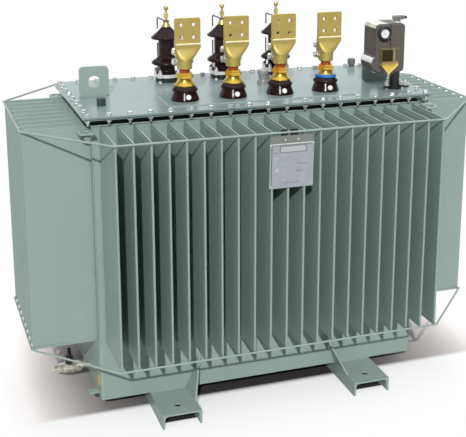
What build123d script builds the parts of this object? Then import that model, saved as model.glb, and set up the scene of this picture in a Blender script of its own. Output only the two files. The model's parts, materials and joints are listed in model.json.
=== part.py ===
import os
from math import atan2, cos, degrees, radians, sin, sqrt

from build123d import *

os.makedirs("parts", exist_ok=True)

# Power transformer with a corrugated tank: X runs along the long side, -Y is the low-voltage side,
# Z is up, and the origin lies on the ground under the middle of the tank. All lengths are in mm.

# Skid channels, open side down, running front to back under the tank
skid_height = 60.0
skid_width = 160.0
skid_web = 8.0
skid_flange_toe = 7.5
skid_flange_root = 11.5
skid_root_radius = 12.0
skid_toe_radius = 4.0
skid_overhang = 206.0
skid_inset = 201.0
skid_hole_diameter = 28.0
skid_hole_inset = 72.0

# Gusset plates between the skid channels and the base pan
gusset_thickness = 8.0
gusset_reach = 131.0
gusset_height = 142.0
gusset_lean = 56.0

# Tank: base pan, closed body and sheet walls
tank_length = 1386.0
tank_width = 628.0
pan_height = 243.0
pan_corner_radius = 12.0
wall_sheet = 2.0
wall_top_margin = 7.0
neck_height = 25.0
neck_setback = 10.0

# Cooling fins folded from the wall sheet
fin_thickness = 9.0
fin_seam_thickness = 5.0
fin_seam_height = 11.0
fin_tip_radius = 3.5
fin_bottom_step = 1.0
fin_height = 890.0
front_fin_count = 21
front_fin_margin = 33.0
front_fin_depth = 273.0
end_fin_count = 9
end_fin_margin = 44.0
end_fin_depth = 256.0

# Tie rods welded along the fin tips, in an octagon at the top and at the bottom
rod_diameter = 8.0
rod_overhang = 8.0

# Frame round the tank mouth, gasket and cover
frame_thickness = 5.0
gasket_thickness = 2.0
cover_end_overhang = 39.0
cover_side_overhang = 31.0
cover_thickness = 8.0
cover_corner_radius = 5.0
frame_setback = 7.0
gasket_setback = 10.0

# Raised plate that carries the low-voltage bushings
insert_margin = 88.0
insert_width = 210.0
insert_thickness = 5.0
insert_edge = 3.0

# Lifting lugs on the cover
lug_width = 119.0
lug_height = 124.0
lug_thickness = 14.0
lug_corner_radius = 17.0
lug_hole_diameter = 50.0
lug_hole_height = 61.0
lug_inset = 78.0
lug_y = 28.0

# Lashing eyes at the four corners of the tank, just below the fins' tops
eye_thickness = 8.0
eye_drop = 5.0
eye_hole_diameter = 42.0
eye_hole_offset = 29.0
eye_outer_reach = 58.0
eye_arm = 24.0
eye_corner_radius = 15.0

# Earthing tabs low on the end walls
earth_tab_length = 46.0
earth_tab_width = 36.0
earth_tab_thickness = 5.0
earth_tab_hole_diameter = 13.0
earth_tab_rise = 29.0
earth_tab_inset = 30.0
earth_hole_offset = 9.0

# Nameplate with its holder, hung from the top tie rod
plate_width = 178.0
plate_height = 177.0
plate_thickness = 2.0
holder_height = 31.0
holder_drop = 13.0
holder_x = 10.0
holder_stand_off = 4.0
clip_width = 66.0
clip_wall = 8.0
clip_tongue = 4.0
clip_x = 2.0
clip_notch = 14.0

# Drain valve low on the left end
drain_rise = 24.0
drain_y = -20.0
drain_stub_radius = 13.0
drain_stub_length = 29.0
drain_collar_radius = 21.0
drain_collar_length = 25.0
drain_body_radius = 23.0
drain_body_length = 49.0
drain_neck_radius = 17.0
drain_neck_length = 21.0
drain_plug_radius = 12.0
drain_plug_length = 24.0
drain_bevel = 3.0
handle_base_radius = 16.0
handle_base_height = 27.0
handle_stem_radius = 9.0
handle_stem_height = 36.0
handle_bevel = 2.0

# Small fittings on the cover
pocket_cap_radius = 18.0
pocket_cap_height = 31.0
pocket_cap_bevel = 2.0
pocket_cap_end_inset = 71.0
pocket_cap_side_inset = 167.0
rear_cap_radius = 18.0
rear_cap_height = 26.0
rear_neck_radius = 13.0
rear_neck_height = 12.0
rear_cap_bevel = 3.0
rear_cap_end_inset = 37.0
rear_cap_side_inset = 1.0
filler_radius = 25.0
filler_collar_height = 14.0
filler_neck_radius = 18.0
filler_neck_height = 26.0
filler_cap_radius = 23.0
filler_cap_height = 20.0
filler_bevel = 3.0
filler_x = 128.0
filler_y = 72.0

# Low-voltage bushings
lv_count = 4
lv_pitch = 203.0
lv_centre_x = 17.5
lv_side_inset = 148.0
lv_skirt_radius = 57.0
lv_skirt_top_radius = 45.0
lv_skirt_height = 38.0
lv_skirt_edge = 5.0
lv_shed_radius = 52.0
lv_shed_edge = 7.0
lv_shoulder_radius = 39.0
lv_porcelain_height = 59.0
lv_rim_radius = 2.5
lv_stem_radius = 21.0
lv_washer_radius = 41.0
lv_washer_edge = 4.0
lv_cone_top_radius = 27.0
lv_cone_height = 27.0
lv_cone_bow = 3.0
lv_nut_radius = 36.0
lv_nut_height = 13.0
lv_locknut_radius = 30.0
lv_locknut_height = 8.0
lv_ring_radius = 44.0
lv_ring_height = 12.0
lv_ring_edge = 3.0
lv_stem_gap = 16.0

# Clamp connectors on the low-voltage stems, each with a four-hole palm
barrel_radius = 30.0
barrel_height = 35.0
taper_height = 47.0
collar_height = 15.0
taper_depth = 24.0
taper_corner_radius = 6.0
palm_size = 104.0
palm_thickness = 12.0
palm_offset = 13.0
palm_corner_radius = 7.0
palm_hole_diameter = 14.0
palm_hole_pitch = 50.0
ear_width = 25.0
ear_depth = 46.0
ear_height = 80.0
ear_rise = 6.0
ear_corner_radius = 9.0
slit_width = 5.0

# High-voltage bushings
hv_count = 3
hv_pitch = 252.0
hv_centre_x = -3.0
hv_side_inset = 70.0
hv_base_radius = 50.0
hv_base_height = 21.0
hv_ring_radius = 53.0
hv_ring_height = 14.0
hv_lug_radius = 9.0
hv_lug_reach = 56.0
hv_lug_count = 4
hv_lug_rise = 9.0
hv_lug_angle = 45.0
hv_seat_radius = 42.0
hv_flare_radius = 48.0
hv_flare_edge = 6.0
hv_flare_height = 13.0
hv_core_radius = 35.0
hv_shed_radius = 66.0
hv_shed_edge = 7.0
hv_shed_under = 5.0
hv_shed_height = 31.0
hv_shed_waist_share = 0.33
hv_rim_radius = 3.0
hv_lower_core = 26.0
hv_upper_core = 73.0
hv_cap_height = 44.0
hv_cap_top_radius = 19.0
hv_cap_waist_share = 0.52
hv_cap_waist_height_share = 0.42
hv_cone_radius = 20.0
hv_cone_height = 21.0
hv_pin_radius = 5.5
hv_pin_height = 50.0
hv_nut_radius = 10.5
hv_nut_height = 20.0
hv_nut_rise = 16.0
hv_ball_radius = 10.5

# Arcing horns behind the high-voltage bushings
horn_radius = 3.0
horn_angle = 108.0
horn_reach = 72.0
horn_bend = 7.0
horn_eye_radius = 13.0
upper_horn_drop = 48.0
lower_horn_height = 130.0
horn_foot_rise = 8.0

# Protection relay at the right end of the low-voltage side
relay_end_inset = 66.0
relay_side_inset = 114.0
column_radius = 22.0
column_flange_radius = 30.0
column_flange_height = 9.0
column_height = 75.0
relay_left = 104.0
relay_right = 30.0
relay_front = 28.0
relay_back = 97.0
relay_height = 206.0
relay_face_radius = 7.0
relay_top_radius = 17.0
relay_bottom_radius = 8.0
relay_groove_width = 7.0
relay_groove_depth = 9.0
relay_groove_share = 0.48
bulge_radius = 42.0
bulge_length = 111.0
bulge_reach = 17.0
bulge_rise_share = 0.185
bulge_edge = 8.0
dial_radius = 30.0
dial_face_radius = 19.0
dial_depth = 15.0
dial_recess = 4.0
dial_x_share = 0.25
dial_rise_share = 0.815
sight_width = 83.0
sight_height = 120.0
sight_depth = 32.0
sight_wall = 5.0
sight_nose_share = 0.38
sight_nose_x_share = -0.06
sight_x_share = 0.41
sight_drop = 14.0
float_depth = 24.0
float_width = 50.0
float_height = 43.0
float_shift = 7.5
float_top_gap = 4.0
vent_stem_radius = 16.0
vent_stem_height = 16.0
vent_body_radius = 10.0
vent_body_length = 41.0
vent_tip_radius = 4.0
vent_tip_length = 22.0
clamp_radius = 9.0
clamp_length = 28.0
clamp_reach = 40.0
clamp_thickness = 8.0
clamp_count = 3
clamp_start_angle = 80.0

# Cuts run past the surface by this much
cut_overrun = 2.0

# Levels and places that follow from the sizes above
skid_length = tank_width + 2 * skid_overhang
skid_pitch = tank_length - 2 * skid_inset - skid_width
skid_hole_pitch = skid_length - 2 * skid_hole_inset
pan_top = skid_height + pan_height
fin_bottom = pan_top + fin_bottom_step
fin_top = fin_bottom + fin_height
wall_height = fin_bottom_step + fin_height + wall_top_margin
wall_top = pan_top + wall_height
frame_bottom = wall_top + neck_height
frame_top = frame_bottom + frame_thickness
cover_bottom = frame_top + gasket_thickness
cover_top = cover_bottom + cover_thickness
insert_top = cover_top + insert_thickness
inner_length = tank_length - 2 * wall_sheet
inner_width = tank_width - 2 * wall_sheet
neck_length = inner_length - 2 * neck_setback
neck_width = inner_width - 2 * neck_setback
fin_channel = fin_thickness - 2 * wall_sheet
front_row_reach = tank_length / 2 - front_fin_margin
front_fin_pitch = 2 * front_row_reach / (front_fin_count - 1)
end_row_reach = inner_width / 2 - end_fin_margin
end_fin_pitch = 2 * end_row_reach / (end_fin_count - 1)
front_tip = tank_width / 2 + front_fin_depth
end_tip = tank_length / 2 + end_fin_depth
rod_radius = rod_diameter / 2
rod_y = front_tip + rod_radius
rod_x = end_tip + rod_radius
rod_corner_x = front_row_reach + rod_overhang
rod_corner_y = end_row_reach + rod_overhang
cover_length = tank_length + 2 * cover_end_overhang
cover_width = tank_width + 2 * cover_side_overhang
lug_pitch = tank_length - 2 * lug_inset
pocket_cap_x = pocket_cap_end_inset - tank_length / 2
pocket_cap_y = pocket_cap_side_inset - tank_width / 2
rear_cap_x = tank_length / 2 - rear_cap_end_inset
rear_cap_y = tank_width / 2 - rear_cap_side_inset
relay_x = tank_length / 2 - relay_end_inset
relay_y = relay_side_inset - tank_width / 2
lv_y = lv_side_inset - tank_width / 2
lv_row_span = lv_pitch * (lv_count - 1)
insert_length = lv_row_span + 2 * insert_margin
hv_y = tank_width / 2 - hv_side_inset
hv_row_span = hv_pitch * (hv_count - 1)

# Skid channels: rolled section with tapered flanges and one hole near each end


def make_skid(x_centre):
    section = Plane.XZ.offset(-skid_length / 2)
    with BuildPart() as skid:
        with BuildSketch(section) as outline:
            with Locations((x_centre, skid_height / 2)):
                Rectangle(skid_width, skid_height)
            with BuildLine():
                toe = skid_width / 2 - skid_flange_toe
                root = skid_width / 2 - skid_flange_root
                ceiling = skid_height - skid_web
                Polyline(
                    (x_centre - toe, 0),
                    (x_centre - root, ceiling),
                    (x_centre + root, ceiling),
                    (x_centre + toe, 0),
                    close=True,
                )
            make_face(mode=Mode.SUBTRACT)
            corners = outline.vertices().filter_by(lambda v: abs(abs(v.X - x_centre) - root) < skid_web / 4)
            fillet(corners, radius=skid_root_radius)
            toes = outline.vertices().filter_by(lambda v: abs(abs(v.X - x_centre) - toe) < skid_web / 4)
            fillet(toes, radius=skid_toe_radius)
        extrude(amount=skid_length)
        with BuildSketch(Plane.XY.offset(skid_height)):
            with Locations((x_centre, 0)), GridLocations(0, skid_hole_pitch, 1, 2):
                Circle(skid_hole_diameter / 2)
        extrude(amount=-skid_web - cut_overrun, mode=Mode.SUBTRACT)
    return skid


left_skid = make_skid(-skid_pitch / 2)
left_skid.part.label = "left_skid"
export_step(left_skid.part, "parts/left_skid.step")

right_skid = make_skid(skid_pitch / 2)
right_skid.part.label = "right_skid"
export_step(right_skid.part, "parts/right_skid.step")

# Gussets: leaning triangles seated on the channel's top and on the pan's face, one at each channel end
gusset_x = skid_pitch / 2 - skid_width / 2
gusset_root = Vector(gusset_x, -tank_width / 2, skid_height)
gusset_tip = gusset_root + Vector(0, -gusset_reach, 0)
gusset_peak = gusset_root + Vector(-gusset_lean, 0, gusset_height)
gusset_face = Face(Wire.make_polygon([gusset_root, gusset_tip, gusset_peak], close=True))

with BuildPart() as skid_gussets:
    extrude(gusset_face, amount=gusset_thickness, dir=(1, 0, 0))
    mirror(about=Plane.YZ)
    mirror(about=Plane.XZ)
skid_gussets.part.label = "skid_gussets"
export_step(skid_gussets.part, "parts/skid_gussets.step")

# Base pan: the closed foot of the tank
with BuildPart() as base_pan:
    with BuildSketch(Plane.XY.offset(skid_height)):
        RectangleRounded(tank_length, tank_width, pan_corner_radius)
    extrude(amount=pan_height)
base_pan.part.label = "base_pan"
export_step(base_pan.part, "parts/base_pan.step")

# Tank body: the closed inside of the tank, which the sheet walls wrap, with a neck up into the frame
with BuildPart() as tank_body:
    with BuildSketch(Plane.XY.offset(pan_top)):
        Rectangle(inner_length, inner_width)
    extrude(amount=wall_top - pan_top)
    with BuildSketch(Plane.XY.offset(wall_top)):
        Rectangle(neck_length, neck_width)
    extrude(amount=frame_top - wall_top)
tank_body.part.label = "tank_body"
export_step(tank_body.part, "parts/tank_body.step")

# Corrugated walls: one sheet each, folded into deep hollow fins with pressed and welded ends


def make_fin_wall(base, wall_length, fin_count, fin_pitch, fin_depth):
    fin_run = fin_height - 2 * fin_seam_height
    tip = wall_sheet + fin_depth
    with BuildPart() as wall:
        with BuildSketch(base):
            with Locations((0, wall_sheet / 2)):
                Rectangle(wall_length, wall_sheet)
        extrude(amount=wall_height)
        with BuildSketch(base.offset(fin_bottom_step)):
            with Locations((0, tip / 2)), GridLocations(fin_pitch, 0, fin_count, 1):
                Rectangle(fin_seam_thickness, tip)
        extrude(amount=fin_height)
        with BuildSketch(base.offset(fin_bottom_step + fin_seam_height)) as folds:
            with Locations((0, tip / 2)), GridLocations(fin_pitch, 0, fin_count, 1):
                Rectangle(fin_thickness, tip)
            fillet(folds.vertices().group_by(Axis.Y)[-1], radius=fin_tip_radius)
        extrude(amount=fin_run)
        with BuildSketch(base.offset(fin_bottom_step + fin_seam_height + wall_sheet)) as channels:
            with Locations((0, (tip - wall_sheet) / 2)), GridLocations(fin_pitch, 0, fin_count, 1):
                Rectangle(fin_channel, tip - wall_sheet)
            fillet(channels.vertices().group_by(Axis.Y)[-1], radius=fin_tip_radius - wall_sheet)
        extrude(amount=fin_run - 2 * wall_sheet, mode=Mode.SUBTRACT)
    return wall


front_base = Plane(origin=(0, -inner_width / 2, pan_top), x_dir=(-1, 0, 0), z_dir=(0, 0, 1))
back_base = Plane(origin=(0, inner_width / 2, pan_top), x_dir=(1, 0, 0), z_dir=(0, 0, 1))
left_base = Plane(origin=(-inner_length / 2, 0, pan_top), x_dir=(0, 1, 0), z_dir=(0, 0, 1))
right_base = Plane(origin=(inner_length / 2, 0, pan_top), x_dir=(0, -1, 0), z_dir=(0, 0, 1))

front_fin_wall = make_fin_wall(front_base, tank_length, front_fin_count, front_fin_pitch, front_fin_depth)
front_fin_wall.part.label = "front_fin_wall"
export_step(front_fin_wall.part, "parts/front_fin_wall.step")

back_fin_wall = make_fin_wall(back_base, tank_length, front_fin_count, front_fin_pitch, front_fin_depth)
back_fin_wall.part.label = "back_fin_wall"
export_step(back_fin_wall.part, "parts/back_fin_wall.step")

left_fin_wall = make_fin_wall(left_base, inner_width, end_fin_count, end_fin_pitch, end_fin_depth)
left_fin_wall.part.label = "left_fin_wall"
export_step(left_fin_wall.part, "parts/left_fin_wall.step")

right_fin_wall = make_fin_wall(right_base, inner_width, end_fin_count, end_fin_pitch, end_fin_depth)
right_fin_wall.part.label = "right_fin_wall"
export_step(right_fin_wall.part, "parts/right_fin_wall.step")

# Tie rods: eight straight bars round the fin tips, mitred where they meet


def rod_corners(level):
    right_half = [(rod_corner_x, -rod_y), (rod_x, -rod_corner_y), (rod_x, rod_corner_y), (rod_corner_x, rod_y)]
    left_half = [(-x, y) for x, y in reversed(right_half)]
    return [Vector(x, y, level) for x, y in right_half + left_half]


def mitre(corners, index):
    before = (corners[index] - corners[index - 1]).normalized()
    after = (corners[(index + 1) % len(corners)] - corners[index]).normalized()
    return Plane(origin=corners[index], z_dir=before + after)


def make_rod(corners, index):
    start = corners[index]
    end = corners[(index + 1) % len(corners)]
    run = (end - start).normalized()
    with BuildPart() as rod:
        with BuildSketch(Plane(origin=start - run * rod_diameter, z_dir=run)):
            Circle(rod_radius)
        extrude(amount=(end - start).length + 2 * rod_diameter)
        split(bisect_by=mitre(corners, index), keep=Keep.TOP)
        split(bisect_by=mitre(corners, (index + 1) % len(corners)), keep=Keep.BOTTOM)
    return rod.part


top_corners = rod_corners(fin_top - rod_radius)
bottom_corners = rod_corners(fin_bottom + rod_radius)
top_rods = [make_rod(top_corners, index) for index in range(len(top_corners))]
bottom_rods = [make_rod(bottom_corners, index) for index in range(len(bottom_corners))]

with BuildPart() as top_side_rods:
    add(top_rods[1::2])
top_side_rods.part.label = "top_side_rods"
export_step(top_side_rods.part, "parts/top_side_rods.step")

with BuildPart() as top_corner_rods:
    add(top_rods[0::2])
top_corner_rods.part.label = "top_corner_rods"
export_step(top_corner_rods.part, "parts/top_corner_rods.step")

with BuildPart() as bottom_side_rods:
    add(bottom_rods[1::2])
bottom_side_rods.part.label = "bottom_side_rods"
export_step(bottom_side_rods.part, "parts/bottom_side_rods.step")

with BuildPart() as bottom_corner_rods:
    add(bottom_rods[0::2])
bottom_corner_rods.part.label = "bottom_corner_rods"
export_step(bottom_corner_rods.part, "parts/bottom_corner_rods.step")

# Lashing eyes: horizontal plates on the end walls, one out past each corner, each with a hole
eye_top = fin_top - eye_drop
eye_span = eye_outer_reach + eye_arm
eye_middle = (eye_outer_reach - eye_arm) / 2

with BuildPart() as lashing_eyes:
    with BuildSketch(Plane.XY.offset(eye_top - eye_thickness)):
        with Locations((tank_length / 2 + eye_middle, -tank_width / 2 - eye_middle)):
            RectangleRounded(eye_span, eye_span, eye_corner_radius)
        Rectangle(tank_length, tank_width + 2 * eye_span, mode=Mode.SUBTRACT)
        with Locations((tank_length / 2 + eye_hole_offset, -tank_width / 2 - eye_hole_offset)):
            Circle(eye_hole_diameter / 2, mode=Mode.SUBTRACT)
    extrude(amount=eye_thickness)
    mirror(about=Plane.YZ)
    mirror(about=Plane.XZ)
lashing_eyes.part.label = "lashing_eyes"
export_step(lashing_eyes.part, "parts/lashing_eyes.step")

# Frame round the tank's neck
with BuildPart() as top_frame:
    with BuildSketch(Plane.XY.offset(frame_bottom)):
        Rectangle(cover_length - 2 * frame_setback, cover_width - 2 * frame_setback)
        Rectangle(neck_length, neck_width, mode=Mode.SUBTRACT)
    extrude(amount=frame_thickness)
top_frame.part.label = "top_frame"
export_step(top_frame.part, "parts/top_frame.step")

# Gasket between the frame and the cover
with BuildPart() as cover_gasket:
    with BuildSketch(Plane.XY.offset(frame_top)):
        Rectangle(cover_length - 2 * gasket_setback, cover_width - 2 * gasket_setback)
    extrude(amount=gasket_thickness)
cover_gasket.part.label = "cover_gasket"
export_step(cover_gasket.part, "parts/cover_gasket.step")

# Cover plate
with BuildPart() as cover:
    with BuildSketch(Plane.XY.offset(cover_bottom)):
        RectangleRounded(cover_length, cover_width, cover_corner_radius)
    extrude(amount=cover_thickness)
cover.part.label = "cover"
export_step(cover.part, "parts/cover.step")

# Raised plate under the low-voltage bushings, with bevelled weld edges
with BuildPart() as lv_insert_plate:
    with BuildSketch(Plane.XY.offset(cover_top)):
        with Locations((lv_centre_x, lv_y)):
            Rectangle(insert_length, insert_width)
    extrude(amount=insert_thickness)
    chamfer(lv_insert_plate.edges().group_by(Axis.Z)[-1], length=insert_edge)
lv_insert_plate.part.label = "lv_insert_plate"
export_step(lv_insert_plate.part, "parts/lv_insert_plate.step")

# Lifting lugs: upright plates with one hole, across the cover near each end, on opposite sides of the middle


def make_lug(x_centre, y_centre):
    with BuildPart() as lug:
        with BuildSketch(Plane.XZ.offset(-y_centre)) as plate:
            with Locations((x_centre, cover_top + lug_height / 2)):
                Rectangle(lug_width, lug_height)
            fillet(plate.vertices().group_by(Axis.Z)[-1], radius=lug_corner_radius)
            with Locations((x_centre, cover_top + lug_hole_height)):
                Circle(lug_hole_diameter / 2, mode=Mode.SUBTRACT)
        extrude(amount=lug_thickness / 2, both=True)
    return lug


left_lifting_lug = make_lug(-lug_pitch / 2, lug_y)
left_lifting_lug.part.label = "left_lifting_lug"
export_step(left_lifting_lug.part, "parts/left_lifting_lug.step")

right_lifting_lug = make_lug(lug_pitch / 2, -lug_y)
right_lifting_lug.part.label = "right_lifting_lug"
export_step(right_lifting_lug.part, "parts/right_lifting_lug.step")

# Earthing tabs: one low on each end of the pan, at opposite corners
earth_level = skid_height + earth_tab_rise
earth_y = tank_width / 2 - earth_tab_inset

with BuildPart() as earth_tabs:
    with BuildSketch(Plane.XY.offset(earth_level)):
        with Locations((-tank_length / 2 - earth_tab_length / 2, -earth_y)):
            Rectangle(earth_tab_length, earth_tab_width)
            with Locations((-earth_hole_offset, 0)):
                Circle(earth_tab_hole_diameter / 2, mode=Mode.SUBTRACT)
        with Locations((tank_length / 2 + earth_tab_length / 2, earth_y)):
            Rectangle(earth_tab_length, earth_tab_width)
            with Locations((earth_hole_offset, 0)):
                Circle(earth_tab_hole_diameter / 2, mode=Mode.SUBTRACT)
    extrude(amount=earth_tab_thickness)
earth_tabs.part.label = "earth_tabs"
export_step(earth_tabs.part, "parts/earth_tabs.step")

# Nameplate: a holder strip clipped to the top rod, with the plate below it, leaning in to the fin tips
holder_top = top_corners[0].Z - rod_radius - holder_drop / 2
holder_y = -rod_y - rod_radius - holder_stand_off
plate_drop = holder_height + plate_height
plate_tilt = degrees(atan2(-front_tip - holder_y - plate_thickness, plate_drop))
plate_upright = Plane(origin=(holder_x, holder_y, holder_top), x_dir=(1, 0, 0), z_dir=(0, -1, 0))
plate_face = plate_upright.rotated((plate_tilt, 0, 0))

with BuildPart() as nameplate_holder:
    with BuildSketch(plate_face):
        with Locations((0, -holder_height / 2)):
            Rectangle(plate_width, holder_height)
    extrude(amount=-plate_thickness)
nameplate_holder.part.label = "nameplate_holder"
export_step(nameplate_holder.part, "parts/nameplate_holder.step")

with BuildPart() as nameplate:
    with BuildSketch(plate_face):
        with Locations((0, -holder_height - plate_height / 2)):
            Rectangle(plate_width, plate_height)
    extrude(amount=-plate_thickness)
nameplate.part.label = "nameplate"
export_step(nameplate.part, "parts/nameplate.step")

# Clips: hooks behind the top rod, either side of a fin, with tongues down behind the holder strip
clip_radius = rod_radius + clip_wall
clip_size = 2 * clip_radius

with BuildPart() as nameplate_clips:
    with BuildSketch(Plane.YZ.offset(clip_x - clip_width / 2)):
        with Locations((-rod_y, top_corners[0].Z)):
            Circle(clip_radius)
        with Locations((-rod_y - rod_radius - clip_tongue / 2, top_corners[0].Z - clip_radius)):
            Rectangle(clip_tongue, clip_size)
        with Locations((-rod_y, top_corners[0].Z)):
            Circle(rod_radius, mode=Mode.SUBTRACT)
        with Locations((-rod_y - clip_radius / 2, top_corners[0].Z + (clip_radius - rod_radius) / 2)):
            Rectangle(clip_radius, clip_size - clip_wall, mode=Mode.SUBTRACT)
    extrude(amount=clip_width)
    with BuildSketch(plate_face.offset(-plate_thickness)):
        Rectangle(plate_width, 2 * plate_drop)
    extrude(amount=clip_size, mode=Mode.SUBTRACT)
    with BuildSketch(Plane.YZ):
        with Locations((-rod_y, top_corners[0].Z)):
            Rectangle(2 * clip_size, 2 * clip_size)
    extrude(amount=clip_notch / 2, both=True, mode=Mode.SUBTRACT)
nameplate_clips.part.label = "nameplate_clips"
export_step(nameplate_clips.part, "parts/nameplate_clips.step")

# Drain valve: turned body along -X from the left end of the pan
drain_level = skid_height + drain_rise
drain_stub_end = drain_stub_length
drain_collar_end = drain_stub_end + drain_collar_length
drain_body_end = drain_collar_end + drain_body_length
drain_neck_end = drain_body_end + drain_neck_length
drain_plug_end = drain_neck_end + drain_plug_length
drain_plane = Plane(origin=(-tank_length / 2, drain_y, drain_level), x_dir=(-1, 0, 0), z_dir=(0, 1, 0))

with BuildPart() as drain_valve:
    with BuildSketch(drain_plane):
        with BuildLine():
            Polyline(
                (0, 0),
                (0, drain_stub_radius),
                (drain_stub_end, drain_stub_radius),
                (drain_stub_end, drain_collar_radius),
                (drain_collar_end, drain_collar_radius),
                (drain_collar_end, drain_body_radius - drain_bevel),
                (drain_collar_end + drain_bevel, drain_body_radius),
                (drain_body_end - drain_bevel, drain_body_radius),
                (drain_body_end, drain_body_radius - drain_bevel),
                (drain_body_end, drain_neck_radius),
                (drain_neck_end, drain_neck_radius),
                (drain_neck_end, drain_plug_radius),
                (drain_plug_end - drain_bevel, drain_plug_radius),
                (drain_plug_end, drain_plug_radius - drain_bevel),
                (drain_plug_end, 0),
                close=True,
            )
        make_face()
    revolve(axis=Axis((-tank_length / 2, drain_y, drain_level), (-1, 0, 0)))
drain_valve.part.label = "drain_valve"
export_step(drain_valve.part, "parts/drain_valve.step")

handle_x = -tank_length / 2 - (drain_collar_end + drain_body_end) / 2
handle_seat = drain_level + drain_body_radius

with BuildPart() as drain_handle:
    with BuildSketch(Plane.XY.offset(handle_seat)):
        with Locations((handle_x, drain_y)):
            Circle(handle_base_radius)
    extrude(amount=handle_base_height)
    with BuildSketch(Plane.XY.offset(handle_seat + handle_base_height)):
        with Locations((handle_x, drain_y)):
            Circle(handle_stem_radius)
    extrude(amount=handle_stem_height)
    chamfer(drain_handle.edges().filter_by(GeomType.CIRCLE).group_by(Axis.Z)[-1], length=handle_bevel)
drain_handle.part.label = "drain_handle"
export_step(drain_handle.part, "parts/drain_handle.step")

# Small fittings on the cover
with BuildPart() as pocket_cap:
    with BuildSketch(Plane.XY.offset(cover_top)):
        with Locations((pocket_cap_x, pocket_cap_y)):
            Circle(pocket_cap_radius)
    extrude(amount=pocket_cap_height)
    chamfer(pocket_cap.edges().group_by(Axis.Z)[-1], length=pocket_cap_bevel)
pocket_cap.part.label = "pocket_cap"
export_step(pocket_cap.part, "parts/pocket_cap.step")

with BuildPart() as rear_cap:
    with BuildSketch(Plane.XY.offset(cover_top)):
        with Locations((rear_cap_x, rear_cap_y)):
            Circle(rear_neck_radius)
    extrude(amount=rear_neck_height)
    with BuildSketch(Plane.XY.offset(cover_top + rear_neck_height)):
        with Locations((rear_cap_x, rear_cap_y)):
            Circle(rear_cap_radius)
    extrude(amount=rear_cap_height)
    chamfer(rear_cap.edges().group_by(Axis.Z)[-1], length=rear_cap_bevel)
rear_cap.part.label = "rear_cap"
export_step(rear_cap.part, "parts/rear_cap.step")

with BuildPart() as filler_fitting:
    with BuildSketch(Plane.XY.offset(cover_top)):
        with Locations((filler_x, filler_y)):
            Circle(filler_radius)
    extrude(amount=filler_collar_height)
    with BuildSketch(Plane.XY.offset(cover_top + filler_collar_height)):
        with Locations((filler_x, filler_y)):
            Circle(filler_neck_radius)
    extrude(amount=filler_neck_height)
    with BuildSketch(Plane.XY.offset(cover_top + filler_collar_height + filler_neck_height)):
        with Locations((filler_x, filler_y)):
            Circle(filler_cap_radius)
    extrude(amount=filler_cap_height)
    chamfer(filler_fitting.edges().group_by(Axis.Z)[-1], length=filler_bevel)
filler_fitting.part.label = "filler_fitting"
export_step(filler_fitting.part, "parts/filler_fitting.step")

# Low-voltage bushings in a row on the raised plate
lv_row = [(lv_centre_x - lv_row_span / 2 + lv_pitch * index, lv_y) for index in range(lv_count)]
lv_nut_seat = insert_top + lv_porcelain_height
lv_cone_end = lv_washer_edge + lv_cone_height
lv_nut_end = lv_nut_seat + lv_cone_end + lv_nut_height
lv_locknut_end = lv_nut_end + lv_locknut_height
barrel_bottom = lv_locknut_end + lv_stem_gap
barrel_top = barrel_bottom + barrel_height
collar_bottom = barrel_top + taper_height
palm_bottom = collar_bottom + collar_height
palm_centre = palm_bottom + palm_size / 2

with BuildPart() as lv_porcelain_form:
    with BuildSketch(Plane.XZ) as lv_profile:
        with BuildLine():
            shed_start = lv_skirt_height
            Polyline(
                (lv_stem_radius, 0),
                (lv_skirt_radius, 0),
                (lv_skirt_radius, lv_skirt_edge),
                (lv_skirt_top_radius, shed_start),
                (lv_shed_radius, shed_start),
                (lv_shed_radius, shed_start + lv_shed_edge),
                (lv_shoulder_radius, lv_porcelain_height),
                (lv_stem_radius, lv_porcelain_height),
                close=True,
            )
        make_face()
        lv_rims = lv_profile.vertices().filter_by(lambda v: v.X > lv_skirt_top_radius)
        fillet(lv_rims, radius=lv_rim_radius)
    revolve(axis=Axis.Z)

with BuildPart() as lv_porcelains:
    with Locations([(x, y, insert_top) for x, y in lv_row]):
        add(lv_porcelain_form.part)
lv_porcelains.part.label = "lv_porcelains"
export_step(lv_porcelains.part, "parts/lv_porcelains.step")

with BuildPart() as lv_stems:
    with BuildSketch(Plane.XY.offset(insert_top)):
        with Locations(lv_row):
            Circle(lv_stem_radius)
    extrude(amount=barrel_top - insert_top)
lv_stems.part.label = "lv_stems"
export_step(lv_stems.part, "parts/lv_stems.step")

with BuildPart() as lv_nut_form:
    with BuildSketch(Plane.XZ):
        with BuildLine():
            Polyline(
                (lv_cone_top_radius, lv_cone_end),
                (lv_stem_radius, lv_cone_end),
                (lv_stem_radius, 0),
                (lv_washer_radius, 0),
                (lv_washer_radius, lv_washer_edge),
            )
            SagittaArc(
                (lv_washer_radius, lv_washer_edge),
                (lv_cone_top_radius, lv_cone_end),
                lv_cone_bow,
            )
        make_face()
    revolve(axis=Axis.Z)
    with BuildSketch(Plane.XY.offset(lv_cone_end)):
        RegularPolygon(lv_nut_radius, 6)
        Circle(lv_stem_radius, mode=Mode.SUBTRACT)
    extrude(amount=lv_nut_height)
    with BuildSketch(Plane.XY.offset(lv_cone_end + lv_nut_height)):
        RegularPolygon(lv_locknut_radius, 6)
        Circle(lv_stem_radius, mode=Mode.SUBTRACT)
    extrude(amount=lv_locknut_height)

with BuildPart() as lv_nut_stacks:
    with Locations([(x, y, lv_nut_seat) for x, y in lv_row]):
        add(lv_nut_form.part)
lv_nut_stacks.part.label = "lv_nut_stacks"
export_step(lv_nut_stacks.part, "parts/lv_nut_stacks.step")

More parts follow.
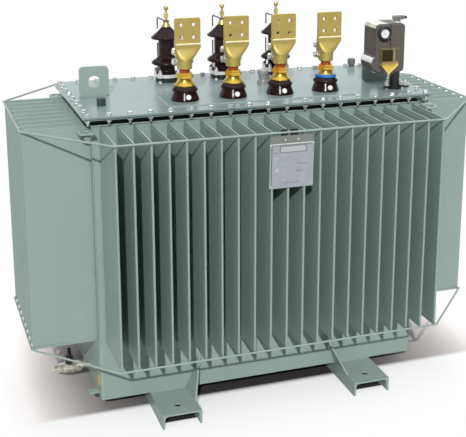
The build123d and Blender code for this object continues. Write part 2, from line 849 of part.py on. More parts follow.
# Marking ring round the foot of the neutral's nut stack, the last of the row
with BuildPart() as neutral_ring:
    with BuildSketch(Plane.XY.offset(lv_nut_seat)):
        with Locations(lv_row[-1]):
            Circle(lv_ring_radius)
    extrude(amount=lv_ring_height)
    chamfer(neutral_ring.edges().group_by(Axis.Z)[-1], length=lv_ring_edge)
    with Locations((lv_row[-1][0], lv_row[-1][1], lv_nut_seat)):
        add(lv_nut_form.part, mode=Mode.SUBTRACT)
    with BuildSketch(Plane.XY.offset(lv_nut_seat)):
        with Locations(lv_row[-1]):
            Circle(lv_stem_radius)
    extrude(amount=lv_ring_height, mode=Mode.SUBTRACT)
neutral_ring.part.label = "neutral_ring"
export_step(neutral_ring.part, "parts/neutral_ring.step")

# Clamp connectors: a barrel lofted out to a collar and a flat palm, split behind between two clamping ears
ear_bottom = barrel_bottom + ear_rise
ear_top = ear_bottom + ear_height

with BuildPart() as connector_form:
    with BuildSketch(Plane.XY.offset(barrel_bottom)):
        Circle(barrel_radius)
    extrude(amount=barrel_height)
    with BuildSketch(Plane.XY.offset(barrel_top)):
        RectangleRounded(2 * barrel_radius, taper_depth, taper_corner_radius)
    with BuildSketch(Plane.XY.offset(collar_bottom)):
        with Locations((palm_offset, 0)):
            RectangleRounded(palm_size, taper_depth, taper_corner_radius)
    loft()
    with BuildSketch(Plane.XY.offset(collar_bottom)):
        with Locations((palm_offset, 0)):
            RectangleRounded(palm_size, taper_depth, taper_corner_radius)
    extrude(amount=collar_height)
    with BuildSketch(Plane.YZ) as ear_outline:
        with Locations((ear_depth / 2, (ear_bottom + ear_top) / 2)):
            Rectangle(ear_depth, ear_height)
        fillet(ear_outline.vertices().group_by(Axis.Y)[-1], radius=ear_corner_radius)
    extrude(amount=ear_width, both=True)
    with BuildSketch(Plane.XZ) as palm_outline:
        with Locations((palm_offset, palm_centre)):
            Rectangle(palm_size, palm_size)
        fillet(palm_outline.vertices().group_by(Axis.Z)[-1], radius=palm_corner_radius)
    extrude(amount=palm_thickness / 2, both=True)
    with BuildSketch(Plane.XZ):
        with Locations((palm_offset, palm_centre)), GridLocations(palm_hole_pitch, palm_hole_pitch, 2, 2):
            Circle(palm_hole_diameter / 2)
    extrude(amount=palm_thickness / 2 + cut_overrun, both=True, mode=Mode.SUBTRACT)
    with BuildSketch(Plane.XY.offset(barrel_bottom)):
        Circle(lv_stem_radius)
        with Locations((0, ear_depth / 2 + cut_overrun)):
            Rectangle(slit_width, ear_depth + 2 * cut_overrun)
    extrude(amount=barrel_height, mode=Mode.SUBTRACT)
    with BuildSketch(Plane.XY.offset(barrel_top)):
        with Locations((0, (taper_depth + ear_depth) / 2 + cut_overrun)):
            Rectangle(slit_width, ear_depth + 2 * cut_overrun)
    extrude(amount=palm_bottom - barrel_top, mode=Mode.SUBTRACT)

with BuildPart() as lv_connectors:
    with Locations([(x, y, 0) for x, y in lv_row]):
        add(connector_form.part)
lv_connectors.part.label = "lv_connectors"
export_step(lv_connectors.part, "parts/lv_connectors.step")

# High-voltage bushings in a row along the back
hv_row = [(hv_centre_x - hv_row_span / 2 + hv_pitch * index, hv_y) for index in range(hv_count)]
hv_ring_top = hv_base_height + hv_ring_height
hv_flare_top = hv_ring_top + hv_flare_height
hv_shed_bottom = hv_flare_top + hv_lower_core
hv_shed_rim = hv_shed_bottom + hv_shed_under
hv_shed_top = hv_shed_rim + hv_shed_height
hv_cap_bottom = hv_shed_top + hv_upper_core
hv_cap_rim = hv_cap_bottom + hv_shed_under
hv_cap_top = hv_cap_rim + hv_shed_edge + hv_cap_height
hv_cap_waist = hv_cap_top_radius + (hv_shed_radius - hv_cap_top_radius) * hv_cap_waist_share
hv_cap_waist_level = hv_cap_rim + hv_shed_edge + hv_cap_height * hv_cap_waist_height_share
hv_shed_waist = hv_core_radius + (hv_shed_radius - hv_core_radius) * hv_shed_waist_share
hv_shed_waist_level = hv_shed_rim + hv_shed_edge + (hv_shed_height - hv_shed_edge) * hv_shed_waist_share

with BuildPart() as hv_bases:
    with BuildSketch(Plane.XY.offset(cover_top)):
        with Locations(hv_row):
            Circle(hv_base_radius)
    extrude(amount=hv_base_height)
hv_bases.part.label = "hv_bases"
export_step(hv_bases.part, "parts/hv_bases.step")

with BuildPart() as hv_porcelain_form:
    with BuildSketch(Plane.XZ) as hv_profile:
        with BuildLine():
            Polyline(
                (0, hv_cap_top),
                (0, hv_base_height),
                (hv_seat_radius, hv_base_height),
                (hv_seat_radius, hv_ring_top),
                (hv_flare_radius, hv_ring_top),
                (hv_flare_radius, hv_ring_top + hv_flare_edge),
                (hv_core_radius, hv_flare_top),
                (hv_core_radius, hv_shed_bottom),
                (hv_shed_radius, hv_shed_rim),
                (hv_shed_radius, hv_shed_rim + hv_shed_edge),
            )
            ThreePointArc(
                (hv_shed_radius, hv_shed_rim + hv_shed_edge),
                (hv_shed_waist, hv_shed_waist_level),
                (hv_core_radius, hv_shed_top),
            )
            Polyline(
                (hv_core_radius, hv_shed_top),
                (hv_core_radius, hv_cap_bottom),
                (hv_shed_radius, hv_cap_rim),
                (hv_shed_radius, hv_cap_rim + hv_shed_edge),
            )
            ThreePointArc(
                (hv_shed_radius, hv_cap_rim + hv_shed_edge),
                (hv_cap_waist, hv_cap_waist_level),
                (hv_cap_top_radius, hv_cap_top),
            )
            Line((hv_cap_top_radius, hv_cap_top), (0, hv_cap_top))
        make_face()
        hv_rims = hv_profile.vertices().filter_by(lambda v: v.X > hv_flare_radius)
        fillet(hv_rims, radius=hv_rim_radius)
    revolve(axis=Axis.Z)

with BuildPart() as hv_porcelains:
    with Locations([(x, y, cover_top) for x, y in hv_row]):
        add(hv_porcelain_form.part)
hv_porcelains.part.label = "hv_porcelains"
export_step(hv_porcelains.part, "parts/hv_porcelains.step")

# Clamp rings that hold the porcelain down, each with bolt lugs round it
with BuildPart() as hv_ring_form:
    with BuildSketch(Plane.XY.offset(hv_base_height)):
        Circle(hv_ring_radius)
    extrude(amount=hv_ring_height)
    with BuildSketch(Plane.XY.offset(hv_base_height)):
        with PolarLocations(hv_lug_reach, hv_lug_count, start_angle=hv_lug_angle):
            Circle(hv_lug_radius)
    extrude(amount=hv_ring_height + hv_lug_rise)
    with BuildSketch(Plane.XY.offset(hv_base_height)):
        Circle(hv_seat_radius)
    extrude(amount=hv_ring_height, mode=Mode.SUBTRACT)
    with BuildSketch(Plane.XY.offset(hv_ring_top)):
        Circle(hv_flare_radius)
    extrude(amount=hv_lug_rise, mode=Mode.SUBTRACT)

with BuildPart() as hv_clamp_rings:
    with Locations([(x, y, cover_top) for x, y in hv_row]):
        add(hv_ring_form.part)
hv_clamp_rings.part.label = "hv_clamp_rings"
export_step(hv_clamp_rings.part, "parts/hv_clamp_rings.step")

# Terminals: cone, pin with a nut, and a ball on top
hv_cone_top = hv_cap_top + hv_cone_height
hv_pin_top = hv_cone_top + hv_pin_height
hv_ball_level = hv_pin_top + sqrt(hv_ball_radius**2 - hv_pin_radius**2)

with BuildPart() as hv_terminal_form:
    with BuildSketch(Plane.XY.offset(hv_cap_top)):
        Circle(hv_cone_radius)
    with BuildSketch(Plane.XY.offset(hv_cone_top)):
        Circle(hv_nut_radius)
    loft()
    with BuildSketch(Plane.XY.offset(hv_cone_top)):
        Circle(hv_pin_radius)
    extrude(amount=hv_pin_height)
    with BuildSketch(Plane.XY.offset(hv_cone_top + hv_nut_rise)):
        RegularPolygon(hv_nut_radius, 6)
    extrude(amount=hv_nut_height)
    with Locations((0, 0, hv_ball_level)):
        Sphere(hv_ball_radius)

with BuildPart() as hv_terminals:
    with Locations([(x, y, cover_top) for x, y in hv_row]):
        add(hv_terminal_form.part)
hv_terminals.part.label = "hv_terminals"
export_step(hv_terminals.part, "parts/hv_terminals.step")

# Arcing horns: the upper one hangs from an eye round the terminal pin, the lower one rises from the ring
horn_direction = Vector(cos(radians(horn_angle)), sin(radians(horn_angle)), 0)
upper_horn_level = hv_cone_top + horn_radius
lower_horn_level = hv_base_height + horn_foot_rise

with BuildPart() as upper_horn_form:
    with BuildLine() as upper_path:
        start = horn_direction * (hv_pin_radius + horn_radius) + Vector(0, 0, upper_horn_level)
        elbow = horn_direction * horn_reach + Vector(0, 0, upper_horn_level + horn_bend)
        FilletPolyline(start, elbow, elbow - Vector(0, 0, upper_horn_drop), radius=horn_bend)
    with BuildSketch(Plane(origin=start, z_dir=elbow - start)):
        Circle(horn_radius)
    sweep()
    with BuildSketch(Plane.XY.offset(hv_cone_top)):
        Circle(horn_eye_radius)
    extrude(amount=2 * horn_radius)
    with BuildSketch(Plane.XY.offset(hv_cone_top)):
        Circle(hv_pin_radius)
    extrude(amount=2 * horn_radius, mode=Mode.SUBTRACT)

with BuildPart() as upper_horns:
    with Locations([(x, y, cover_top) for x, y in hv_row]):
        add(upper_horn_form.part)
upper_horns.part.label = "upper_horns"
export_step(upper_horns.part, "parts/upper_horns.step")

with BuildPart() as lower_horn_form:
    with BuildLine() as lower_path:
        foot = horn_direction * hv_ring_radius + Vector(0, 0, lower_horn_level)
        heel = horn_direction * horn_reach + Vector(0, 0, lower_horn_level)
        FilletPolyline(foot, heel, heel + Vector(0, 0, lower_horn_height), radius=horn_bend)
    with BuildSketch(Plane(origin=foot, z_dir=heel - foot)):
        Circle(horn_radius)
    sweep()

with BuildPart() as lower_horns:
    with Locations([(x, y, cover_top) for x, y in hv_row]):
        add(lower_horn_form.part)
lower_horns.part.label = "lower_horns"
export_step(lower_horns.part, "parts/lower_horns.step")

# Protection relay: column, cast housing, dial, sight glass with its float, and bleed valve
relay_bottom = cover_top + column_height
relay_top = relay_bottom + relay_height
relay_width = relay_left + relay_right
relay_middle_x = relay_x + (relay_right - relay_left) / 2
relay_depth = relay_front + relay_back
relay_middle_y = relay_y + (relay_back - relay_front) / 2
relay_face_y = relay_y - relay_front

with BuildPart() as relay_column:
    with BuildSketch(Plane.XY.offset(cover_top)):
        with Locations((relay_x, relay_y)):
            Circle(column_flange_radius)
    extrude(amount=column_flange_height)
    with BuildSketch(Plane.XY.offset(cover_top + column_flange_height)):
        with Locations((relay_x, relay_y)):
            Circle(column_radius)
    extrude(amount=column_height - column_flange_height)
relay_column.part.label = "relay_column"
export_step(relay_column.part, "parts/relay_column.step")

# Hold-down clamps on the column's flange
clamp_seat = cover_top + column_flange_height

with BuildPart() as relay_clamps:
    with BuildSketch(Plane.XY.offset(clamp_seat)):
        with Locations((relay_x, relay_y)):
            with PolarLocations(clamp_reach, clamp_count, start_angle=clamp_start_angle):
                SlotCenterToCenter(clamp_length, 2 * clamp_radius)
        with Locations((relay_x, relay_y)):
            Circle(column_radius, mode=Mode.SUBTRACT)
    extrude(amount=clamp_thickness)
relay_clamps.part.label = "relay_clamps"
export_step(relay_clamps.part, "parts/relay_clamps.step")

groove_x = relay_x - relay_left + relay_width * relay_groove_share
bulge_level = relay_bottom + relay_height * bulge_rise_share

with BuildPart() as relay_bulge:
    with BuildSketch(Plane.XZ.offset(-relay_middle_y)):
        with Locations((relay_x - relay_left + bulge_radius - bulge_reach, bulge_level)):
            Circle(bulge_radius)
    extrude(amount=bulge_length / 2, both=True)
    fillet(relay_bulge.edges().filter_by(GeomType.CIRCLE), radius=bulge_edge)

with BuildPart() as relay_housing:
    with BuildSketch(Plane.XZ.offset(-relay_face_y)) as relay_outline:
        with Locations((relay_middle_x, relay_bottom + relay_height / 2)):
            Rectangle(relay_width, relay_height)
        fillet(relay_outline.vertices().group_by(Axis.Z)[-1], radius=relay_top_radius)
        relay_feet = relay_outline.vertices().group_by(Axis.Z)[0]
        fillet(relay_feet, radius=relay_bottom_radius)
    extrude(amount=-relay_depth)
    fillet(relay_housing.edges().group_by(Axis.Y)[0], radius=relay_face_radius)
    fillet(relay_housing.edges().group_by(Axis.Y)[-1], radius=relay_face_radius)
    with BuildSketch(Plane.XY.offset(relay_bottom)):
        with Locations((groove_x, relay_face_y)):
            Rectangle(relay_groove_width, 2 * relay_groove_depth)
    extrude(amount=relay_height, mode=Mode.SUBTRACT)
    add(relay_bulge.part)
relay_housing.part.label = "relay_housing"
export_step(relay_housing.part, "parts/relay_housing.step")

dial_x = relay_x - relay_left + relay_width * dial_x_share
dial_level = relay_bottom + relay_height * dial_rise_share
dial_plane = Plane(origin=(dial_x, relay_face_y, dial_level), x_dir=(1, 0, 0), z_dir=(0, -1, 0))

with BuildPart() as relay_dial_rim:
    with BuildSketch(dial_plane):
        Circle(dial_radius)
    extrude(amount=dial_depth)
    with BuildSketch(dial_plane.offset(dial_depth - dial_recess)):
        Circle(dial_face_radius)
    extrude(amount=dial_recess, mode=Mode.SUBTRACT)
relay_dial_rim.part.label = "relay_dial_rim"
export_step(relay_dial_rim.part, "parts/relay_dial_rim.step")

with BuildPart() as relay_dial_face:
    with BuildSketch(dial_plane.offset(dial_depth - dial_recess)):
        Circle(dial_face_radius)
    extrude(amount=dial_recess / 2)
relay_dial_face.part.label = "relay_dial_face"
export_step(relay_dial_face.part, "parts/relay_dial_face.step")

sight_x = relay_x - relay_left + relay_width * sight_x_share
sight_bottom = relay_bottom - sight_drop
sight_centre = (sight_x, relay_face_y, sight_bottom + sight_height / 2)
sight_plane = Plane(origin=sight_centre, x_dir=(1, 0, 0), z_dir=(0, -1, 0))

with BuildPart() as relay_sight_glass:
    with BuildSketch(sight_plane) as glass_outline:
        with BuildLine():
            nose = -sight_height / 2 + sight_height * sight_nose_share
            sight_nose_x = sight_width * sight_nose_x_share
            Polyline(
                (-sight_width / 2, sight_height / 2),
                (sight_width / 2, sight_height / 2),
                (sight_width / 2, nose),
                (sight_nose_x, -sight_height / 2),
                (-sight_width / 2, nose),
                close=True,
            )
        make_face()
    extrude(amount=sight_depth)
    with BuildSketch(sight_plane):
        with BuildLine():
            inner_nose = nose + sight_wall / 2
            Polyline(
                (-sight_width / 2 + sight_wall, sight_height / 2 - sight_wall),
                (sight_width / 2 - sight_wall, sight_height / 2 - sight_wall),
                (sight_width / 2 - sight_wall, inner_nose),
                (sight_nose_x, -sight_height / 2 + 2 * sight_wall),
                (-sight_width / 2 + sight_wall, inner_nose),
                close=True,
            )
        make_face()
    extrude(amount=sight_depth - sight_wall, mode=Mode.SUBTRACT)
relay_sight_glass.part.label = "relay_sight_glass"
export_step(relay_sight_glass.part, "parts/relay_sight_glass.step")

# Float: an upright flattened drum on the back of the glass chamber
float_level = sight_bottom + sight_height - sight_wall - float_top_gap - float_height
float_y = relay_face_y - float_depth / 2

with BuildPart() as relay_float:
    with BuildSketch(Plane.XY.offset(float_level)):
        with Locations((sight_x - float_shift, float_y)):
            SlotOverall(float_width, float_depth)
    extrude(amount=float_height)
relay_float.part.label = "relay_float"
export_step(relay_float.part, "parts/relay_float.step")

# Bleed valve: an upright stem with a level body that tapers to its tip
vent_level = relay_top + vent_stem_height - vent_body_radius / 2

with BuildPart() as relay_vent:
    with BuildSketch(Plane.XY.offset(relay_top)):
        with Locations((relay_x, relay_y)):
            Circle(vent_stem_radius)
    extrude(amount=vent_stem_height)
    with BuildSketch(Plane.YZ.offset(relay_x - vent_stem_radius)):
        with Locations((relay_y, vent_level + vent_body_radius)):
            Circle(vent_body_radius)
    extrude(amount=vent_body_length)
    with BuildSketch(Plane.YZ.offset(relay_x - vent_stem_radius + vent_body_length)):
        with Locations((relay_y, vent_level + vent_body_radius)):
            Circle(vent_body_radius)
    with BuildSketch(Plane.YZ.offset(relay_x - vent_stem_radius + vent_body_length + vent_tip_length)):
        with Locations((relay_y, vent_level + vent_body_radius)):
            Circle(vent_tip_radius)
    loft()
relay_vent.part.label = "relay_vent"
export_step(relay_vent.part, "parts/relay_vent.step")
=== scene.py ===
import json
import random
from math import atan2, copysign, cos, pi, radians, sin, sqrt

import bmesh
import bpy
from mathutils import Matrix, Vector


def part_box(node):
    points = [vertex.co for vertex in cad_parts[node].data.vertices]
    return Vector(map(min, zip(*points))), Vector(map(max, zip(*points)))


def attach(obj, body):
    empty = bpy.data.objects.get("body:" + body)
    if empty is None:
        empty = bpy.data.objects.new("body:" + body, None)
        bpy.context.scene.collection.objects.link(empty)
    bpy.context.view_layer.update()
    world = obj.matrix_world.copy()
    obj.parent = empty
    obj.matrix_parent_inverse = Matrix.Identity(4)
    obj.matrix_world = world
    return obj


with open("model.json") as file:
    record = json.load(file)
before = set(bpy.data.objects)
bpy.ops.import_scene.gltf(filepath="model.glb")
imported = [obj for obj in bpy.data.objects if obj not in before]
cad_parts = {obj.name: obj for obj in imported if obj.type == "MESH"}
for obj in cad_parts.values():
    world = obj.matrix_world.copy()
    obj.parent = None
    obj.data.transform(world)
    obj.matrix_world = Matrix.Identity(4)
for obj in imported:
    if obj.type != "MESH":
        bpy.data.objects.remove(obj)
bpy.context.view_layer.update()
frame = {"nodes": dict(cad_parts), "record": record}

nodes = frame["nodes"]
scene = bpy.context.scene
dice = random.Random(7)
moved = Matrix.Translation
SIDES = (-1, 1)
CORNERS = [(sx, sy) for sx in SIDES for sy in SIDES]


# Places read from the frame, in metres


def spaced(low, high, count):
    return [low + (high - low) * k / (count - 1) for k in range(count)]


def rows_of(node, count):
    """Middles along X of a row of round solids, and their middle along Y."""
    low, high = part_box(node)
    radius = (high.y - low.y) / 2
    return spaced(low.x + radius, high.x - radius, count), (low.y + high.y) / 2


def middle_of(node):
    return sum(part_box(node), Vector()) / 2


def front_of(node):
    """The middle of a node's front."""
    x, _, z = middle_of(node)
    return Vector((x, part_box(node)[0].y, z))


cover_low, cover_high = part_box("cover")
pan_low, pan_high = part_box("base_pan")
relay_low, relay_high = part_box("relay_housing")
glass_low, glass_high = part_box("relay_sight_glass")
connector_low, connector_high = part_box("lv_connectors")
ring_low, ring_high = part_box("hv_clamp_rings")
COVER_TOP = cover_high.z
FRAME_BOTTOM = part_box("top_frame")[0].z
WALL_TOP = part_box("front_fin_wall")[1].z
WALL_SHEET = 0.002
FRONT_FIN_INSET, END_FIN_INSET = 0.033, 0.044
FRONT_REACH = pan_high.x - FRONT_FIN_INSET
END_REACH = pan_high.y - WALL_SHEET - END_FIN_INSET
FRONT_FINS = spaced(-FRONT_REACH, FRONT_REACH, 21)
END_FINS = spaced(-END_REACH, END_REACH, 9)
LV_X, LV_Y = rows_of("lv_stems", 4)
HV_X, HV_Y = rows_of("hv_bases", 3)

PALM_SHIFT = 0.013
GLASS_WALL, FLOAT_GAP = 0.0053, 0.0004
GLASS_NOSE = (glass_low.x + glass_high.x) / 2 - 0.005
OIL_LEVEL = glass_low.z + 0.0655


# Helpers for shader nodes


KINDS = {"Colour": "Color", "Tarnish Colour": "Color", "Stretch": "Vector", "Normal": "Vector"}


def new_group(name, inputs, outputs):
    """An empty node group with its named sockets, numbers unless KINDS says otherwise."""
    tree = bpy.data.node_groups.new(name, "ShaderNodeTree")
    for way, labels in (("INPUT", inputs), ("OUTPUT", outputs)):
        for label in labels:
            kind = "NodeSocket" + KINDS.get(label, "Float")
            socket = tree.interface.new_socket(label, in_out=way, socket_type=kind)
            if way == "INPUT":
                socket.default_value = inputs[label]
    return tree, tree.nodes.new("NodeGroupInput").outputs, tree.nodes.new("NodeGroupOutput").inputs


def wire(tree, sockets, values):
    """Links each named socket to an output, or sets its value."""
    for key, value in values.items():
        if isinstance(value, bpy.types.NodeSocket):
            tree.links.new(value, sockets[key])
        else:
            sockets[key].default_value = value


def put(tree, kind, wires=None, **settings):
    made = tree.nodes.new("ShaderNode" + kind)
    for key, value in settings.items():
        setattr(made, key, value)
    wire(tree, made.inputs, wires or {})
    return made


def maths(operation, *values, clamp=False):
    """A sum, in the tree of its first socket."""
    tree = next(value.id_data for value in values if isinstance(value, bpy.types.NodeSocket))
    return put(tree, "Math", dict(enumerate(values)), operation=operation, use_clamp=clamp).outputs[0]


def plus(first, second, clamp=False):
    return maths("ADD", first, second, clamp=clamp)


def minus(first, second):
    return maths("SUBTRACT", first, second)


def times(first, second, clamp=False):
    return maths("MULTIPLY", first, second, clamp=clamp)


def absolute(value):
    return maths("ABSOLUTE", value)


def largest(first, *others):
    for other in others:
        first = maths("MAXIMUM", first, other)
    return first


def opaque(colour):
    return (*colour, 1)


def blend(share, first, second):
    """Goes from the first colour to the second as the share goes from 0 to 1."""
    return put(share.id_data, "Mix", {0: share, 6: first, 7: second}, data_type="RGBA").outputs[2]


def spread(value, low, high, out_low=0, out_high=1.0):
    """Maps low to high onto the outputs, and holds their ends beyond it."""
    wires = {"Value": value, "From Min": low, "From Max": high, "To Min": out_low, "To Max": out_high}
    return put(value.id_data, "MapRange", wires, clamp=True).outputs["Result"]


def object_place(tree):
    return put(tree, "TexCoord").outputs["Object"]


def split(vector):
    return put(vector.id_data, "SeparateXYZ", {0: vector}).outputs


def noise(place, scale, detail=2.0, rough=0.5):
    wires = {"Vector": place, "Scale": scale, "Detail": detail, "Roughness": rough}
    return put(place.id_data, "TexNoise", wires).outputs["Fac"]


# Effects that several finishes share


def make_rounded_edges():
    """Rounds sharp edges' look, and masks edges the finishes lighten: rubbed wear and painted highlight."""
    tree, given, out = new_group(
        "rounded edges",
        {"Radius": 0.002, "Rub": 0.5, "Patch Size": 18},
        ["Mask", "Normal"],
    )
    rounded = put(tree, "Bevel", {"Radius": given["Radius"]}, samples=4).outputs[0]
    flat = put(tree, "NewGeometry").outputs["Normal"]
    likeness = put(tree, "VectorMath", {0: rounded, 1: flat}, operation="DOT_PRODUCT").outputs["Value"]
    edge = spread(likeness, low=0.995, high=0.86)
    patches = noise(object_place(tree), given["Patch Size"], detail=5.0)
    broken = spread(patches, low=0.42, high=0.62)
    mask = times(times(edge, broken), given["Rub"], clamp=True)
    wire(tree, out, {"Mask": mask, "Normal": rounded})
    return tree


def make_paint_film():
    """Sprayed paint: slow drift of tone, faint runs down the sheet, and orange peel."""
    tree, given, out = new_group(
        "paint film",
        {
            "Colour": (0.3, 0.37, 0.33, 1), "Drift": 0.1, "Peel Scale": 380, "Gloss Patch": 0.08,
            "Roughness": 0.35,
        },
        ["Colour", "Roughness", "Height"],
    )
    runs_stretch = (26, 26, 1.6)
    cloud_share, runs_share, drift_gain = 0.65, 0.35, 4.0
    place = object_place(tree)
    cloud = noise(place, scale=2.6, detail=6.0, rough=0.6)
    runs_place = put(tree, "Mapping", {"Vector": place, "Scale": runs_stretch}).outputs[0]
    runs = noise(runs_place, scale=1.0, detail=3.0)
    tone = plus(times(cloud, cloud_share), times(runs, runs_share))
    swing = times(minus(tone, 0.5), given["Drift"])
    level = plus(1.0, times(swing, drift_gain))
    lit = put(tree, "VectorMath", {0: given["Colour"], "Scale": level}, operation="SCALE").outputs[0]
    uneven = times(minus(cloud, 0.5), given["Gloss Patch"])
    rough = plus(given["Roughness"], uneven, clamp=True)
    peel = noise(place, given["Peel Scale"])
    wire(tree, out, {"Colour": lit, "Roughness": rough, "Height": peel})
    return tree


def make_dust_and_corner_shade():
    """Thin dust on level faces and painted shade in nooks where faces meet, as masks."""
    tree, given, out = new_group(
        "dust and corner shade",
        {"Level": 0.2, "Corners": 0.3, "Reach": 0.03},
        ["Dust", "Corner Shade"],
    )
    upward = split(put(tree, "NewGeometry").outputs["Normal"])["Z"]
    cloud = noise(object_place(tree), scale=7.0, detail=7.0, rough=0.65)
    level_face = spread(upward, low=0.5, high=0.95)
    lying = times(level_face, spread(cloud, low=0.35, high=0.7))
    # Ambient occlusion finds the nooks; the finishes darken them there as painted shade, broken into
    # patches.
    openness = put(tree, "AmbientOcclusion", {"Distance": given["Reach"]}, samples=4).outputs["AO"]
    nook = spread(openness, low=0.75, high=0.25)
    nook_shade = times(nook, spread(cloud, low=0.25, high=0.65))
    dust = times(lying, given["Level"], clamp=True)
    wire(tree, out, {"Dust": dust, "Corner Shade": times(nook_shade, given["Corners"], clamp=True)})
    return tree


def make_metal_skin():
    """Bare metal: tarnish in clouds, and grain that can be drawn out along an axis."""
    tree, given, out = new_group(
        "metal skin",
        {
            "Colour": (0.6, 0.6, 0.6, 1), "Tarnish Colour": (0.3, 0.3, 0.3, 1), "Tarnish": 0.3,
            "Cloud Scale": 22, "Grain Scale": 700, "Roughness": 0.3, "Grain": 0.15,
            "Stretch": (1.0, 1.0, 1.0),
        },
        ["Colour", "Roughness", "Height"],
    )
    tarnish_dulls = 0.18
    place = object_place(tree)
    cloud = noise(place, given["Cloud Scale"], detail=6.0, rough=0.62)
    drawn = put(tree, "VectorMath", {0: place, 1: given["Stretch"]}, operation="MULTIPLY").outputs[0]
    grain = noise(drawn, given["Grain Scale"], detail=3.0)
    tarnish = times(spread(cloud, low=0.36, high=0.68), given["Tarnish"], clamp=True)
    uneven = times(minus(grain, 0.5), given["Grain"])
    uneven = plus(uneven, times(tarnish, tarnish_dulls))
    rough = plus(given["Roughness"], uneven, clamp=True)
    colour = blend(tarnish, given["Colour"], given["Tarnish Colour"])
    wire(tree, out, {"Colour": colour, "Roughness": rough, "Height": grain})
    return tree


ROUNDED_EDGES = make_rounded_edges()
PAINT_FILM = make_paint_film()
DUST_AND_CORNER_SHADE = make_dust_and_corner_shade()
METAL_SKIN = make_metal_skin()


# Finishes

# Lighter paint on edges: rubbed wear, and a painted highlight where edges catch light.
EDGE_WEAR_AND_HIGHLIGHT = (0.46, 0.52, 0.49, 1)
PAINT_DUST = (0.47, 0.5, 0.48, 1)
PLASTIC_DUST = (0.35, 0.37, 0.36, 1)
CORNER_PAINTED_SHADE = (0.05, 0.06, 0.055, 1)
GLAZE_EDGE_HIGHLIGHT = (0.075, 0.04, 0.036, 1)


def use_group(tree, group, **values):
    """Places a shared effect with its own values, and gives its outputs."""
    made = tree.nodes.new("ShaderNodeGroup")
    made.node_tree = group
    wire(tree, made.inputs, {key.replace("_", " "): value for key, value in values.items()})
    return made.outputs


def new_finish(name, metallic=0, coat=0, coat_rough=0.05, ior=1.5, specular=0.5):
    finish = bpy.data.materials.new(name)
    finish.use_nodes = True
    tree = finish.node_tree
    skin = tree.nodes["Principled BSDF"].inputs
    wire(tree, skin, {"Metallic": metallic, "Coat Weight": coat, "Coat Roughness": coat_rough})
    wire(tree, skin, {"IOR": ior, "Specular IOR Level": specular})
    return finish, tree, skin


def dress(skin, colour, film, strength, distance, edges=None, **other):
    """Links colour, roughness and bump to the shader; other gives a roughness or height of its own."""
    wires = {"Height": other.get("height", film["Height"]), "Strength": strength, "Distance": distance}
    if edges:
        wires["Normal"] = edges["Normal"]
    tree = colour.id_data
    bump = put(tree, "Bump", wires).outputs[0]
    rough = other.get("rough", film["Roughness"])
    wire(tree, skin, {"Base Color": colour, "Roughness": rough, "Normal": bump})


def painted(name, colour, rough, coat=0, drift=0.1, edge=0.002, rub=0.35, dust=0.2, corner_shade=0.35,
            peel=0.12, specular=0.5):
    """Sprayed metal: film, lighter edges (wear, painted highlight), level dust, painted shade in corners."""
    dust_dulls = 0.4
    finish, tree, skin = new_finish(name, coat=coat, coat_rough=0.08, specular=specular)
    film = use_group(tree, PAINT_FILM, Colour=opaque(colour), Drift=drift, Roughness=rough)
    edges = use_group(tree, ROUNDED_EDGES, Radius=edge, Rub=rub)
    dust_and_shade = use_group(tree, DUST_AND_CORNER_SHADE, Level=dust, Corners=corner_shade)
    shade = blend(edges["Mask"], film["Colour"], EDGE_WEAR_AND_HIGHLIGHT)
    shade = blend(dust_and_shade["Dust"], shade, PAINT_DUST)
    # Painted shade in corners and nooks.
    shade = blend(dust_and_shade["Corner Shade"], shade, CORNER_PAINTED_SHADE)
    dulled = plus(film["Roughness"], times(dust_and_shade["Dust"], dust_dulls), clamp=True)
    dress(skin, shade, film, peel, 0.0004, edges, rough=dulled)
    return finish


def bare_metal(name, colour, tarnish_colour, rough, tarnish=0.3, clouds=22, grain=0.15,
               grain_scale=700, stretch=(1, 1, 1), bump=0.1, edge=0.0012, metallic=1.0, specular=0.5,
               edge_rub=0.5, edge_patches=60, edge_colour=None, depth=0.0003):
    """Metal without paint: tarnish, grain, and softened edges made brighter as wear and painted highlight.
    """
    finish, tree, skin = new_finish(name, metallic=metallic, specular=specular)
    metal = use_group(
        tree, METAL_SKIN, Colour=opaque(colour), Tarnish_Colour=opaque(tarnish_colour), Tarnish=tarnish,
        Cloud_Scale=clouds, Roughness=rough, Grain=grain, Grain_Scale=grain_scale, Stretch=stretch,
    )
    edges = use_group(tree, ROUNDED_EDGES, Radius=edge, Rub=edge_rub, Patch_Size=edge_patches)
    bright_edge_wear_and_highlight = edge_colour or tuple(min(1.0, c * 1.25) for c in colour)
    shade = blend(edges["Mask"], metal["Colour"], opaque(bright_edge_wear_and_highlight))
    dress(skin, shade, metal, bump, depth, edges)
    return finish


def moulded(name, colour, rough, coat=0, grain=0.12, dust=0.15, specular=0.5):
    """Moulded plastic or rubber, or a black casting, with fine grain and a little dust."""
    finish, tree, skin = new_finish(name, coat=coat, specular=specular)
    film = use_group(
        tree, PAINT_FILM, Colour=opaque(colour), Drift=0.12, Peel_Scale=1400, Roughness=rough,
        Gloss_Patch=0.15,
    )
    edges = use_group(tree, ROUNDED_EDGES, Radius=0.001, Rub=0.3, Patch_Size=40)
    dust_and_shade = use_group(tree, DUST_AND_CORNER_SHADE, Level=dust, Corners=0.1, Reach=0.01)
    # Lighter edges: wear, and a painted highlight along them.
    pale_edge_wear_and_highlight = opaque(min(1.0, c * 1.6 + 0.03) for c in colour)
    shade = blend(edges["Mask"], film["Colour"], pale_edge_wear_and_highlight)
    shade = blend(dust_and_shade["Dust"], shade, PLASTIC_DUST)
    dress(skin, shade, film, grain, 0.0002, edges)
    return finish


